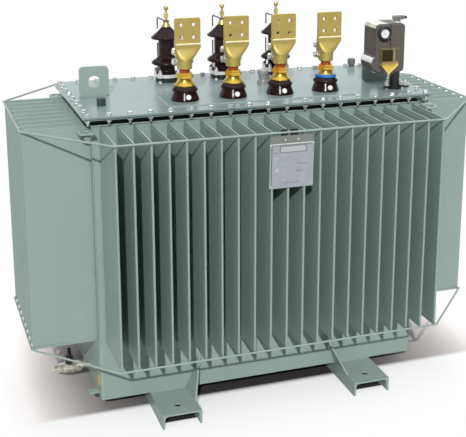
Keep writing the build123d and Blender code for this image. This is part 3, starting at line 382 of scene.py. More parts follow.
def glazed(name, colour):
    """Fired brown glaze: near black, high gloss, faint waves where it ran."""
    finish, tree, skin = new_finish(name, specular=0.22)
    film = use_group(
        tree, PAINT_FILM, Colour=opaque(colour), Drift=0.22, Peel_Scale=60, Roughness=0.16,
        Gloss_Patch=0.1,
    )
    edges = use_group(tree, ROUNDED_EDGES, Radius=0.003, Rub=0.5, Patch_Size=14)
    # Lighter brown along the edges: a painted highlight.
    shade = blend(edges["Mask"], film["Colour"], GLAZE_EDGE_HIGHLIGHT)
    dress(skin, shade, film, 0.05, 0.0008, edges)
    return finish


def threaded(name, colour, dark, pitch, rough):
    """Turned thread: level ridges up the stem, with painted shade in the grooves."""
    finish, tree, skin = new_finish(name, metallic=0.45)
    metal = use_group(
        tree, METAL_SKIN, Colour=opaque(colour), Tarnish_Colour=opaque(dark), Tarnish=0.3,
        Cloud_Scale=45, Roughness=rough,
    )
    ridge = maths("SINE", times(split(object_place(tree))["Z"], 2 * pi / pitch))
    groove_shade = spread(ridge, low=-0.2, high=-0.9)
    shade = blend(groove_shade, metal["Colour"], opaque(c * 0.35 for c in dark))
    dress(skin, shade, metal, 0.9, pitch * 0.25, height=ridge)
    return finish


def clear_moulding(name, colour, rough):
    """Thin clear cover: lets the inside through, denser where it is seen edge on."""
    finish, tree, skin = new_finish(name, ior=1.45, specular=0.2)
    film = use_group(
        tree, PAINT_FILM, Colour=opaque(colour), Drift=0.05, Peel_Scale=90, Roughness=rough,
        Gloss_Patch=0.04,
    )
    slant = put(tree, "LayerWeight", {"Blend": 0.45}).outputs["Facing"]
    density = spread(slant, low=0.25, high=0.95, out_low=0.035, out_high=0.6)
    wire(tree, skin, {"Alpha": density})
    dress(skin, film["Colour"], film, 0.06, 0.0006)
    return finish


def standing_oil(name, nose, foot, top):
    """Amber oil: brown at its level, yellow below, pale painted highlight along the chamber's sloping foot.
    """
    amber, brown, pale = (0.86, 0.58, 0.05, 1), (0.3, 0.2, 0.095, 1), (0.95, 0.8, 0.36, 1)
    finish, tree, skin = new_finish(name, ior=1.45)
    place = split(object_place(tree))
    aside = absolute(minus(place["X"], nose))
    above_slope = minus(minus(place["Z"], foot), aside)
    film = use_group(
        tree, PAINT_FILM, Colour=amber, Drift=0.25, Peel_Scale=120, Roughness=0.12, Gloss_Patch=0.05
    )
    near_top = spread(place["Z"], low=top - 0.024, high=top - 0.004)
    slope_highlight = spread(above_slope, low=0.024, high=0.011)
    # The pale along the sloping foot is a painted highlight.
    shade = blend(slope_highlight, blend(near_top, film["Colour"], brown), pale)
    dress(skin, shade, film, 0.1, 0.0005)
    return finish


TANK_GREEN = (0.276, 0.35, 0.319)
ROD_GREEN = (0.29, 0.355, 0.325)
COVER_GREEN = (0.215, 0.272, 0.272)
UPRIGHT_GRAIN = (1, 1, 9)
LEVEL_GRAIN = (0.05, 1, 1)

FINISHES = {
    "tank_paint": painted(
        "tank paint", TANK_GREEN, 0.45, coat=0.06, drift=0.06, edge=0.0022, rub=0.4, dust=0.3, corner_shade=0.45,
        specular=0.35
    ),
    "cover_paint": painted(
        "cover paint", COVER_GREEN, 0.2, coat=0.1, drift=0.05, rub=0.6, dust=0.1, corner_shade=0.3, peel=0.05,
        specular=0.3
    ),
    "galvanised_rod": painted(
        "rod paint", ROD_GREEN, 0.38, coat=0.12, drift=0.08, rub=0.7, dust=0.1, corner_shade=0.2
    ),
    "gasket_rubber": moulded("gasket rubber", (0.02, 0.022, 0.022), 0.7),
    "brown_porcelain": glazed("brown glaze", (0.017, 0.0072, 0.0068)),
    "connector_brass": bare_metal(
        "cast brass", (0.525, 0.408, 0.12), (0.4, 0.3, 0.08), 0.46, tarnish=0.5, clouds=30, grain=0.22,
        grain_scale=900, bump=0.3, edge=0.002, metallic=0.6
    ),
    "nut_brass": bare_metal(
        "polished brass", (0.74, 0.47, 0.075), (0.5, 0.29, 0.045), 0.2, tarnish=0.25, grain=0.08,
        stretch=UPRIGHT_GRAIN, metallic=0.9
    ),
    "copper": threaded("copper thread", (0.86, 0.2, 0.055), (0.62, 0.1, 0.03), 0.003, 0.3),
    "neutral_blue": moulded("blue ring", (0.004, 0.14, 0.46), 0.25, coat=0.4, dust=0),
    "black_casting": moulded("black casting", (0.012, 0.016, 0.017), 0.35, coat=0.2, grain=0.35, dust=0.12),
    "clamp_aluminium": bare_metal(
        "clamp alloy", (0.86, 0.87, 0.86), (0.6, 0.6, 0.59), 0.3, tarnish=0.25, grain=0.2, bump=0.2,
        metallic=0.5
    ),
    "zinc_steel": bare_metal(
        "zinc plate", (0.72, 0.74, 0.73), (0.5, 0.5, 0.47), 0.24, clouds=60, grain=0.2, metallic=0.75
    ),
    "horn_steel": bare_metal(
        "horn steel", (0.115, 0.115, 0.12), (0.06, 0.058, 0.055), 0.4, tarnish=0.5, clouds=50,
        metallic=0.3, specular=0.35
    ),
    "relay_metal": bare_metal(
        "relay casting", (0.128, 0.112, 0.1), (0.092, 0.078, 0.069), 0.34, clouds=14, grain=0.08,
        bump=0.06, edge=0.003, metallic=0, specular=0.05
    ),
    "relay_black": moulded("relay black", (0.008, 0.011, 0.012), 0.42, grain=0.25, dust=0.06),
    "dial_white": moulded("dial face", (0.82, 0.83, 0.84), 0.2, coat=0.6, dust=0),
    "clear_cover": clear_moulding("clear cover", (0.42, 0.38, 0.13), 0.06),
    "grey_cap": moulded("grey cap", (0.115, 0.14, 0.135), 0.45, grain=0.2, dust=0.08),
    "dark_cap": moulded("dark cap", (0.03, 0.05, 0.052), 0.4, grain=0.2, dust=0.08),
    "plate_aluminium": bare_metal(
        "rating plate", (0.37, 0.395, 0.43), (0.31, 0.33, 0.35), 0.34, tarnish=0.25, grain_scale=900,
        stretch=LEVEL_GRAIN, bump=0.08, edge=0.001, metallic=0.35, edge_rub=0.6, edge_patches=18,
        edge_colour=(0.6, 0.62, 0.66), depth=0.0002
    ),
    "holder_steel": bare_metal(
        "holder strip", (0.225, 0.24, 0.22), (0.17, 0.18, 0.165), 0.42, tarnish=0.35, stretch=LEVEL_GRAIN,
        metallic=0.4
    ),
    "valve_nickel": bare_metal(
        "nickel plate", (0.88, 0.85, 0.77), (0.42, 0.36, 0.14), 0.16, tarnish=0.6, clouds=15, grain=0.04,
        metallic=0.75
    ),
    "black_plastic": moulded("black plastic", (0.007, 0.008, 0.008), 0.45, grain=0.2, dust=0.03),
}

# Nodes and pieces that differ from their slot
OWN_FINISHES = {
    "hv_terminals": bare_metal(
        "terminal brass", (0.66, 0.56, 0.22), (0.5, 0.36, 0.09), 0.22, tarnish=0.4, grain=0.08,
        stretch=UPRIGHT_GRAIN, metallic=0.7
    ),
    # The neck shows only in the gap under the frame; its near-black paint is painted shade.
    "tank_body": painted("neck painted shade", (0.03, 0.042, 0.038), 0.7, dust=0, rub=0, specular=0.1),
    "relay_vent": bare_metal(
        "vent metal", (0.3, 0.3, 0.285), (0.09, 0.09, 0.08), 0.3, tarnish=0.6, clouds=70, metallic=0.55,
        specular=0.35
    ),
    "filler_fitting": bare_metal(
        "filler metal", (0.5, 0.48, 0.49), (0.12, 0.12, 0.12), 0.3, tarnish=0.6, clouds=90, metallic=0.55,
        specular=0.35
    ),
    "relay_float": moulded("blackened float", (0.004, 0.0045, 0.004), 0.6, grain=0.1, dust=0, specular=0.04),
    # A painted highlight along the step at each palm's foot.
    "palm_ridges": bare_metal(
        "brass step painted highlight", (0.92, 0.84, 0.5), (0.7, 0.6, 0.28), 0.22, tarnish=0.2, metallic=0.35
    ),
    # Painted highlight on the relay's rounded top edge.
    "lid_highlight_band": bare_metal(
        "lid painted highlight", (0.85, 0.85, 0.78), (0.34, 0.35, 0.14), 0.2, tarnish=0.6, clouds=26, grain=0.05,
        metallic=0.5
    ),
    # Painted highlight on the relay's round boss.
    "boss_highlight_band": bare_metal(
        "boss painted highlight", (0.97, 0.97, 0.97), (0.85, 0.85, 0.84), 0.3, tarnish=0.15, grain=0.06,
        metallic=0.35
    ),
    "plate_lines": bare_metal(
        "etched lines", (0.07, 0.075, 0.075), (0.12, 0.125, 0.13), 0.5, tarnish=0.4, metallic=0.2
    ),
    "plate_fields": bare_metal(
        "blank fields", (0.5, 0.515, 0.54), (0.4, 0.42, 0.44), 0.36, tarnish=0.4, metallic=0.3
    ),
    "yellow_patch": moulded("yellow marker", (0.8, 0.55, 0.02), 0.4, dust=0.05),
    "relay_oil": standing_oil("relay oil", GLASS_NOSE, glass_low.z, OIL_LEVEL),
    "sight_wall": moulded("olive wall", (0.3, 0.27, 0.16), 0.4, dust=0),
}


def finish_of(name, slot):
    return OWN_FINISHES.get(name, FINISHES[slot])


for entry in frame["record"]["subparts"]:
    body = nodes[entry["node"]].data
    body.materials.clear()
    body.materials.append(finish_of(entry["node"], entry["material_slot"]))


# Helpers for shapes, all in metres


def link(name, data):
    """A new object in the scene."""
    made = bpy.data.objects.new(name, data)
    scene.collection.objects.link(made)
    return made


def object_of(name, shape, finish):
    mesh = bpy.data.meshes.new(name)
    shape.to_mesh(mesh)
    shape.free()
    mesh.materials.append(finish)
    return link(name, mesh)


def finish_piece(name, shape, slot, crease=32):
    """A piece that rides on the tank; edges sharper than the crease stay sharp."""
    bmesh.ops.recalc_face_normals(shape, faces=shape.faces)
    for face in shape.faces:
        face.smooth = True
    for edge in shape.edges:
        if len(edge.link_faces) == 2 and edge.calc_face_angle(0.0) > radians(crease):
            edge.smooth = False
    piece = object_of(name, shape, finish_of(name, slot))
    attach(piece, "root")


def patch(shape, corners):
    """One face on corners of its own."""
    shape.faces.new([shape.verts.new(corner) for corner in corners])


def skin_rows(shape, rows, closed=True):
    """Faces between rows of points, each row a loop if closed."""
    for first, second in zip(rows, rows[1:]):
        for k in range(len(first) if closed else len(first) - 1):
            after = (k + 1) % len(first)
            shape.faces.new((first[k], first[after], second[after], second[k]))


def circle(shape, at, radius, height, sides, spin=0):
    angles = (spin + 2 * pi * k / sides for k in range(sides))
    spots = (Vector((radius * cos(a), radius * sin(a), height)) for a in angles)
    return [shape.verts.new(at @ spot) for spot in spots]


def turn(shape, outline, sides, at, spin=0):
    """A closed turned form: outline is (radius, height) from foot to top, which may end in a point."""
    rings = [circle(shape, at, radius, height, sides, spin) for radius, height in outline if radius]
    skin_rows(shape, rings)
    shape.faces.new(rings[0])
    tip_radius, tip_height = outline[-1]
    if tip_radius:
        shape.faces.new(rings[-1])
    else:
        tip = shape.verts.new(at @ Vector((0, 0, tip_height)))
        for k in range(sides):
            shape.faces.new((rings[-1][k], rings[-1][(k + 1) % sides], tip))


def hoop(shape, outline, sides, at):
    """A ring: outline is a closed loop of (radius, height)."""
    rings = [circle(shape, at, radius, height, sides) for radius, height in outline]
    skin_rows(shape, rings + rings[:1])


def facing(place, direction):
    """A frame at a place, with its Z along the direction."""
    turned = Vector(direction).normalized().to_track_quat("Z", "Y").to_matrix().to_4x4()
    return moved(place) @ turned


def hex_bolt(shape, at, across, height, washer=0, washer_height=0, tail=0):
    """Washer, chamfered hexagon, and the stub of the thread where it shows."""
    spin = dice.uniform(0, pi / 3)
    if washer:
        outline = [(washer, 0), (washer, washer_height * 0.7), (washer * 0.95, washer_height)]
        turn(shape, outline, 20, at)
    corner = across / sqrt(3)
    base = at @ moved((0, 0, washer_height))
    foot, flank, crown = (corner * 0.97, 0), (corner, height * 0.08), (corner * 0.86, height)
    turn(shape, [foot, flank, (corner, height * 0.8), crown], 6, base, spin)
    turn(shape, [(across * 0.42, height), (across * 0.4, height * 1.03)], 18, base)
    if tail:
        thread, point = across * 0.27, across * 0.16
        turn(shape, [(thread, height), (thread, height + tail * 0.7), (point, height + tail)], 12, base)


def bead(shape, points, radius, step=0.007, ripple=0.28, closed=False):
    """A weld bead: a low six-sided ridge along the joint, with its ripples."""
    sides, swell_by_turns = 6, 0.12
    path = []
    count = len(points)
    for index in range(count if closed else count - 1):
        start, end = Vector(points[index]), Vector(points[(index + 1) % count])
        pieces = max(1, round((end - start).length / step))
        path += [start.lerp(end, k / pieces) for k in range(pieces)]
    if not closed:
        path.append(Vector(points[-1]))
    rings = []
    for index, place in enumerate(path):
        before = path[index - 1] if index or closed else place
        after = path[(index + 1) % len(path)] if closed or index + 1 < len(path) else place
        along = (after - before).normalized()
        aslant = Vector((0.31, 0.22, 0.93)) if abs(along.z) < 0.8 else Vector((1, 0.2, 0.1))
        side = along.cross(aslant).normalized()
        lift = along.cross(side).normalized()
        by_turns = swell_by_turns if index % 2 else -swell_by_turns
        swell = radius * (1 + ripple * (dice.random() - 0.5) + by_turns)
        angles = (k * 2 * pi / sides for k in range(sides))
        spots = (place + (side * cos(a) + lift * sin(a)) * swell for a in angles)
        rings.append([shape.verts.new(spot) for spot in spots])
    skin_rows(shape, rings + rings[:1] if closed else rings)
    if not closed:
        shape.faces.new(rings[0])
        shape.faces.new(rings[-1])


def lump(shape, place, radius, squash=(1, 1, 1)):
    """A weld spot, a little uneven."""
    made = bmesh.ops.create_icosphere(shape, subdivisions=1, radius=radius)
    for vert in made["verts"]:
        uneven = (c * s * dice.uniform(0.85, 1.15) for c, s in zip(vert.co, squash))
        vert.co = Vector(place) + Vector(uneven)


def around(left, front, right, back, level):
    """The corners of a level rectangle."""
    return [(left, front, level), (right, front, level), (right, back, level), (left, back, level)]


# Bolts and nuts: width across the flats, height, washer's radius and thickness, bare thread
COVER_BOLT = (0.019, 0.009, 0.013, 0.0025)
COVER_NUT = (0.019, 0.008, 0.0, 0.0, 0.012)
CLAMP_BOLT = (0.024, 0.013, 0.0155, 0.004)
CLAMP_NUT = (0.024, 0.011, 0.0155, 0.004, 0.006)
STUD_NUT = (0.013, 0.006, 0.0085, 0.0018)
RELAY_BOLT = (0.019, 0.011, 0.0125, 0.0025, 0.009)


# Cover bolts and weld seams


def cover_bolts(shape):
    """Hexagon bolts through the cover's rim, with their nuts and pointed ends under the frame."""
    end_inset, side_inset, bow = 0.023, 0.017, 0.01
    long_count, short_count = 19, 9
    left, right = cover_low.x + end_inset, cover_high.x - end_inset
    front, back = cover_low.y + side_inset, cover_high.y - side_inset
    spots = []
    for k, x in enumerate(spaced(left, right, long_count)):
        bowed = x + bow * sin(pi * k / (long_count - 1))
        spots += [(bowed, front), (bowed, back)]
    spots += [(x, y) for y in spaced(front, back, short_count)[1:-1] for x in (left, right)]
    for x, y in spots:
        hex_bolt(shape, moved((x, y, COVER_TOP)), *COVER_BOLT)
        under = moved((x, y, FRAME_BOTTOM)) @ Matrix.Rotation(pi, 4, "X")
        hex_bolt(shape, under, *COVER_NUT)


def tank_welds(shape):
    """Beads along the tank's corners, pan and frame, over the skids, and at each fin's root."""
    x, y, z = pan_high.x, pan_high.y, pan_high.z
    bead(shape, around(-x, -y, x, y, z), 0.0028, closed=True)
    for sx, sy in CORNERS:
        bead(shape, [(sx * x, sy * y, z), (sx * x, sy * y, WALL_TOP)], 0.0026)
    skid_inset = 0.004
    for side in ("left_skid", "right_skid"):
        low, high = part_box(side)
        for sy in SIDES:
            ends = [(edge, sy * y, pan_low.z) for edge in (low.x + skid_inset, high.x - skid_inset)]
            bead(shape, ends, 0.004)
    top = WALL_TOP - 0.0005
    bead(shape, around(-x, -y, x, y, top), 0.0036, closed=True)
    spot, proud = 0.0058, 0.001
    for fin_x in FRONT_FINS:
        for sy in SIDES:
            lump(shape, (fin_x, sy * (y + proud), top), spot, (1.3, 0.8, 0.9))
    for fin_y in END_FINS:
        for sx in SIDES:
            lump(shape, (sx * (x + proud), fin_y, top), spot, (0.8, 1.3, 0.9))


def gusset_welds(shape):
    """Beads down both faces of each leaning gusset, on the skid and up the pan."""
    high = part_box("skid_gussets")[1]
    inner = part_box("right_skid")[0].x
    thickness, lean = 0.008, 0.056
    y, z = pan_high.y, pan_low.z
    for sx, sy in CORNERS:
        for face in (0.0, thickness):
            foot, top = sx * (inner + face), sx * (inner - lean + face)
            bead(shape, [(foot, sy * (y + 0.004), z), (foot, sy * (high.y - 0.002), z)], 0.0026)
            bead(shape, [(foot, sy * y, z + 0.004), (top, sy * y, high.z - 0.003)], 0.0024)


def cover_welds(shape):
    """Beads round the lifting lugs and the raised plate."""
    radii = {"left_lifting_lug": 0.0036, "right_lifting_lug": 0.0036, "lv_insert_plate": 0.0034}
    for node, radius in radii.items():
        low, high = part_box(node)
        bead(shape, around(low.x, low.y, high.x, high.y, COVER_TOP), radius, closed=True)


def rod_welds(shape):
    """Two weld spots on each fin tip, and a larger one where two rods meet."""
    spot, half_gap, inset, drop = 0.0036, 0.0055, 0.0095, 0.002
    corner_spot, corner_shift, corner_inset = 0.0062, 0.008, 0.0078
    for node in ("top_side_rods", "bottom_side_rods"):
        low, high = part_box(node)
        z = (low.z + high.z) / 2
        for x in FRONT_FINS:
            for sy in SIDES:
                for gap in (-half_gap, half_gap):
                    lump(shape, (x + gap, sy * (high.y - inset), z - drop), spot, (1.1, 1, 1.2))
        for y in END_FINS:
            for sx in SIDES:
                for gap in (-half_gap, half_gap):
                    lump(shape, (sx * (high.x - inset), y + gap, z - drop), spot, (1, 1.1, 1.2))
        for sx, sy in CORNERS:
            beside_x, beside_y = FRONT_REACH + corner_shift, END_REACH + corner_shift
            lump(shape, (sx * beside_x, sy * (high.y - corner_inset), z), corner_spot)
            lump(shape, (sx * (high.x - corner_inset), sy * beside_y, z), corner_spot)


# Low-voltage side


def phase_dots(shape):
    """Blank white discs on the skirts of the low-voltage porcelains."""
    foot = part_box("lv_porcelains")[0].z
    skirt_radius, skirt_taper, skirt_foot, skirt_height = 0.057, 0.012, 0.005, 0.033
    rise, angle = 0.019, radians(-89)
    slope = atan2(skirt_taper, skirt_height)
    reach = skirt_radius - skirt_taper * (rise - skirt_foot) / skirt_height
    ahead = Vector((cos(angle), sin(angle), 0))
    out = ahead * cos(slope) + Vector((0, 0, sin(slope)))
    profile = [(0.0102, -0.002), (0.0102, 0.0009), (0.0092, 0.0014), (0.0, 0.0014)]
    for x in LV_X:
        turn(shape, profile, 28, facing(Vector((x, LV_Y, foot + rise)) + ahead * reach, out))


def clamp_bolts(shape):
    """Two bolts through the ears of each connector, heads to the left."""
    ear_y = connector_high.y - 0.014
    half_grip, shank = 0.025, 0.007
    for x in LV_X:
        for rise in (0.0225, 0.0635):
            level = connector_low.z + rise
            hex_bolt(shape, facing((x - half_grip, ear_y, level), (-1, 0, 0)), *CLAMP_BOLT)
            hex_bolt(shape, facing((x + half_grip, ear_y, level), (1, 0, 0)), *CLAMP_NUT)
            through = facing((x - half_grip, ear_y, level), (1, 0, 0))
            turn(shape, [(shank, 0), (shank, 2 * half_grip)], 12, through)


def palm_ridges(shape):
    """The step where each palm meets its collar, made bright as a painted highlight."""
    palm_height, half_width, half_depth, lift = 0.104, 0.0505, 0.0112, 0.0004
    level = connector_high.z - palm_height + lift
    for x in LV_X:
        for sy in SIDES:
            ends = [(x + PALM_SHIFT + sx * half_width, LV_Y + sy * half_depth, level) for sx in SIDES]
            bead(shape, ends, 0.0046, step=0.02, ripple=0.06)


def connector_shoulders(shape):
    """The cast shoulder that runs from each round barrel into the flat taper above it."""
    foot, reach, taper_start, taper_height = connector_low.z + 0.0335, 0.0475, 0.0015, 0.047
    barrel_radius, gain_wide, loss_deep = 0.0303, 0.022, 0.0182
    straight_share, squareness = 0.45, 5.0
    levels, sides = 9, 40
    for x in LV_X:
        rings = []
        for t in spaced(0.0, 1.0, levels):
            rise = max(0.0, t * reach - taper_start) / taper_height
            eased = 3 * t * t - 2 * t ** 3
            flattened = straight_share * t + (1 - straight_share) * eased
            half_wide = barrel_radius + gain_wide * rise
            half_deep = barrel_radius - loss_deep * flattened
            power = 2.0 / (2.0 + squareness * t)
            ring = []
            for k in range(sides):
                a = 2 * pi * k / sides
                across = copysign(abs(cos(a)) ** power, cos(a)) * half_wide
                deep = copysign(abs(sin(a)) ** power, sin(a)) * half_deep
                spot = (x + PALM_SHIFT * rise + across, LV_Y + deep, foot + t * reach)
                ring.append(shape.verts.new(spot))
            rings.append(ring)
        skin_rows(shape, rings)
        shape.faces.new(rings[0])
        shape.faces.new(rings[-1])


# High-voltage side


def stud_spots():
    """Four studs round each clamp ring."""
    circle_radius = 0.056
    angles = [radians(45 + 90 * k) for k in range(4)]
    return [(x + circle_radius * cos(a), HV_Y + circle_radius * sin(a)) for x in HV_X for a in angles]


def ring_studs(shape):
    """Nuts on the clamp rings, with the studs' ends, and nuts on the cover below them."""
    for x, y in stud_spots():
        hex_bolt(shape, moved((x, y, ring_high.z)), *STUD_NUT, tail=0.006)
        hex_bolt(shape, moved((x, y, COVER_TOP)), *STUD_NUT)


def ring_rods(shape):
    """The plain shanks of the studs between the cover and the clamp rings."""
    radius = 0.0028
    for x, y in stud_spots():
        at = moved((x, y, COVER_TOP))
        turn(shape, [(radius, 0.0), (radius, ring_low.z - COVER_TOP)], 10, at)


def lower_skirts(shape):
    """The thick glaze on the lower shed of each high-voltage porcelain."""
    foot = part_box("hv_porcelains")[0].z
    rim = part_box("hv_bases")[0].z + 0.079 - foot
    profile = (
        (0.034, -0.006), (0.058, -0.0045), (0.0645, -0.001), (0.0663, 0.0035), (0.0655, 0.0075),
        (0.0605, 0.0125), (0.0525, 0.0175), (0.0445, 0.023), (0.0385, 0.0285), (0.0352, 0.0335),
        (0.034, 0.0335),
    )
    for x in HV_X:
        outline = [(radius, rim + height) for radius, height in profile]
        hoop(shape, outline, 48, moved((x, HV_Y, foot)))


# Protection relay


def dial_bezel(shape):
    """The raised ring round the dial."""
    centre = front_of("relay_dial_rim")
    inner, middle, outer = 0.0215, 0.0252, 0.0288
    sunk, shoulder, proud = -0.001, 0.0016, 0.0032
    ring = [(inner, sunk), (inner, shoulder), (middle, proud), (outer, shoulder), (outer, sunk)]
    hoop(shape, ring, 48, facing(centre, (0, -1, 0)))


def relay_screws(shape):
    """Hold-down bolts on the clamps, and the hexagon under the bleed valve."""
    low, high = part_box("relay_clamps")
    x, y, _ = middle_of("relay_column")
    bolt_circle, shank, first_angle = 0.047, 0.005, 80
    for k in range(3):
        a = radians(first_angle + 120 * k)
        bolt_x, bolt_y = x + bolt_circle * cos(a), y + bolt_circle * sin(a)
        hex_bolt(shape, moved((bolt_x, bolt_y, high.z)), *RELAY_BOLT)
        at = moved((bolt_x, bolt_y, COVER_TOP))
        turn(shape, [(shank, 0.0), (shank, low.z - COVER_TOP)], 12, at)
    hexagon = [(0.0195, 0), (0.0205, 0.001), (0.0205, 0.0065), (0.0195, 0.0075), (0.0, 0.0075)]
    turn(shape, hexagon, 6, moved((x, y, relay_high.z)), 0.3)


def boss_highlight_band(shape):
    """A bright band on the relay's round boss: a painted highlight."""
    boss_radius, proud, first_angle, sweep, steps = 0.042, 0.0004, 139, 38, 12
    sunk = 3 * proud
    x, z = relay_low.x + boss_radius, relay_low.z + boss_radius
    edges = (relay_low.y + 0.008, relay_low.y + 0.0095, relay_high.y - 0.0175, relay_high.y - 0.016)
    rows = []
    for k in range(steps + 1):
        a = radians(first_angle + sweep * k / steps)
        row = []
        for edge, y in enumerate(edges):
            radius = boss_radius + proud - sunk * (k in (0, steps)) - sunk * (edge in (0, 3))
            row.append(shape.verts.new((x + radius * cos(a), y, z + radius * sin(a))))
        rows.append(row)
    skin_rows(shape, rows, closed=False)


def lid_highlight_band(shape):
    """A bright skin over the relay's rounded top edge: a painted highlight on the corner."""
    corner, proud, down_side, steps = 0.017, 0.0004, 0.004, 8
    left, top = relay_low.x + corner, relay_high.z
    path = [(left - proud, top - corner - down_side)]
    for k in range(steps + 1):
        a = radians(180 - 90 * k / steps)
        radius = corner + proud
        path.append((left + corner + radius * cos(a), top - corner + radius * sin(a)))
    path += [(left + along, top + proud) for along in (0.04, 0.077)]
    margin, bevel = 0.0075, 0.0015
    front, back = relay_low.y + margin, relay_high.y - margin
    rows = []
    for index, (x, z) in enumerate(path):
        sunk = proud * 2 if index in (0, len(path) - 1) else 0.0
        inward = Vector((1, 0, 0)) if index == 0 else Vector((0, 0, -1))
        depths = (front, front + bevel, back - bevel, back)
        rows.append([shape.verts.new(Vector((x, y, z)) + inward * sunk) for y in depths])
    skin_rows(shape, rows, closed=False)


def vent_tip(shape):
    """Black cap on the end of the bleed valve."""
    low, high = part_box("relay_vent")
    start = (high.x - 0.009, (low.y + high.y) / 2, high.z - 0.01)
    profile = [(0.0066, 0), (0.007, 0.0012), (0.0052, 0.0085), (0.0032, 0.0094), (0.0, 0.0094)]
    turn(shape, profile, 20, facing(start, (1, 0, 0)))


def dial_marks(shape):
    """Scale ticks and pointer on the dial face."""
    centre = front_of("relay_dial_face")

    def mark(degrees, corners, proud):
        a = radians(degrees)
        along, across = Vector((cos(a), 0, sin(a))), Vector((-sin(a), 0, cos(a)))
        patch(shape, [centre + along * r + across * s - Vector((0, proud, 0)) for r, s in corners])

    outer, half_tick = 0.0165, 0.0005
    for k in range(13):
        inner = 0.0135 if k % 3 else 0.0115
        tick = ((inner, -half_tick), (outer, -half_tick), (outer, half_tick), (inner, half_tick))
        mark(20 * k - 30, tick, 0.0003)
    pointer = ((-0.004, -0.0012), (0.013, -0.0003), (0.013, 0.0003), (-0.004, 0.0012))
    mark(135, pointer, 0.0006)


def relay_oil(shape):
    """The oil that stands in the sight chamber."""
    low, high = glass_low, glass_high
    slope_share, slope_lift, clearance = 0.38, 0.0028, 0.0003
    slope_top = low.z + slope_share * (high.z - low.z) + slope_lift
    left, right = low.x + GLASS_WALL, high.x - GLASS_WALL
    nose = (GLASS_NOSE, low.z + 2.0 * GLASS_WALL)
    outline = [(left, OIL_LEVEL), (right, OIL_LEVEL), (right, slope_top), nose, (left, slope_top)]
    front, back = low.y + GLASS_WALL + clearance, high.y - clearance
    rings = [[shape.verts.new((x, y, z)) for x, z in outline] for y in (front, back)]
    shape.faces.new(rings[0])
    shape.faces.new(list(reversed(rings[1])))
    skin_rows(shape, rings)


def sight_strip(shape, left, right):
    """A strip of the sight chamber's back wall, from the oil to the chamber's top."""
    y, foot, top = glass_high.y - 0.0006, OIL_LEVEL + 0.0007, glass_high.z - 0.0056
    patch(shape, [(left, y, foot), (right, y, foot), (right, y, top), (left, y, top)])


def sight_shade(shape):
    """The dark strip to the left of the float."""
    sight_strip(shape, glass_low.x + GLASS_WALL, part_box("relay_float")[0].x - FLOAT_GAP)


def sight_wall(shape):
    """The olive strip to the right of the float."""
    sight_strip(shape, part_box("relay_float")[1].x + FLOAT_GAP, glass_high.x - GLASS_WALL)


# Nameplate

PLATE_HALF = 0.083
FIELD_COLUMNS = ((-0.074, -0.052), (-0.04, -0.018), (0.004, 0.026), (0.036, 0.066))
ETCHED_RULES = (
    (-PLATE_HALF, PLATE_HALF, 0.037, 0.0386),
    (-PLATE_HALF, -PLATE_HALF + 0.0026, 0.037, 0.196),
    (-0.048, 0.056, 0.0412, 0.0426),
    (-0.048, 0.056, 0.0652, 0.0668),
    (-0.0496, -0.0472, 0.0412, 0.0668),
    (0.0552, 0.0576, 0.0412, 0.0668),
    (-0.076, -0.054, 0.0662, 0.0672),
    (0.01, 0.05, 0.141, 0.1424),
    (0.02, 0.06, 0.112, 0.1132),
    (-0.04, 0.03, 0.186, 0.1872),
)
BLANK_BOX = (-0.0465, 0.0545, 0.043, 0.0648)
BLANK_SQUARE = (-0.066, -0.052, 0.128, 0.142)


holder_low, holder_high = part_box("nameplate_holder")
plate_low, plate_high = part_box("nameplate")
PLATE_MIDDLE = middle_of("nameplate").x
PLATE_TOP = Vector((PLATE_MIDDLE, holder_low.y, holder_high.z))
PLATE_FOOT = Vector((PLATE_MIDDLE, plate_high.y - 0.002, plate_low.z))
PLATE_RIGHT = Vector((1, 0, 0))
PLATE_UP = (PLATE_TOP - PLATE_FOOT).normalized()
PLATE_OUT = PLATE_RIGHT.cross(PLATE_UP)
SUNK = -0.0003


def on_plate(across, down, proud):
    """A place on the plate: to the right of its middle, down from its top edge, and proud of it."""
    return PLATE_TOP + PLATE_RIGHT * across - PLATE_UP * down + PLATE_OUT * proud


def strip(shape, left, right, start, end, proud=0.0004):
    corners = ((left, start), (right, start), (right, end), (left, end))
    patch(shape, [on_plate(across, down, proud) for across, down in corners])


def plate_lines(shape):
    """The etched frame and rules."""
    for rule in ETCHED_RULES:
        strip(shape, *rule)


def plate_fields(shape):
    """Blank fields: the box, the square and broken rows, with no lettering."""
    strip(shape, *BLANK_BOX, 0.0003)
    strip(shape, *BLANK_SQUARE)
    first_row, row_pitch, stroke = 0.075, 0.0108, 0.0024
    for row in range(11):
        down = first_row + row * row_pitch
        for start, end in FIELD_COLUMNS:
            if dice.random() < 0.5:
                filled = start + (end - start) * dice.uniform(0.5, 1.0)
                strip(shape, start, filled, down, down + stroke)


def plate_fold(shape):
    """The folded edge across the holder strip, drawn bright as a painted highlight along the bend."""
    half, down = 0.0888, 0.0325
    bead(shape, [on_plate(side * half, down, SUNK) for side in SIDES], 0.0016, step=0.03, ripple=0.05)


def plate_rivets(shape):
    """Two rivets in the holder strip and four at the plate's corners."""
    outline = [(0.0038, -0.001), (0.0038, 0.0003), (0.0026, 0.0008), (0.0, 0.0009)]
    spots = [(-0.028, 0.0155), (0.024, 0.0155)]
    spots += [(side * 0.0855, down) for down in (0.0365, 0.197) for side in SIDES]
    for across, down in spots:
        turn(shape, outline, 14, facing(on_plate(across, down, SUNK), PLATE_OUT))


# Drain valve and marker


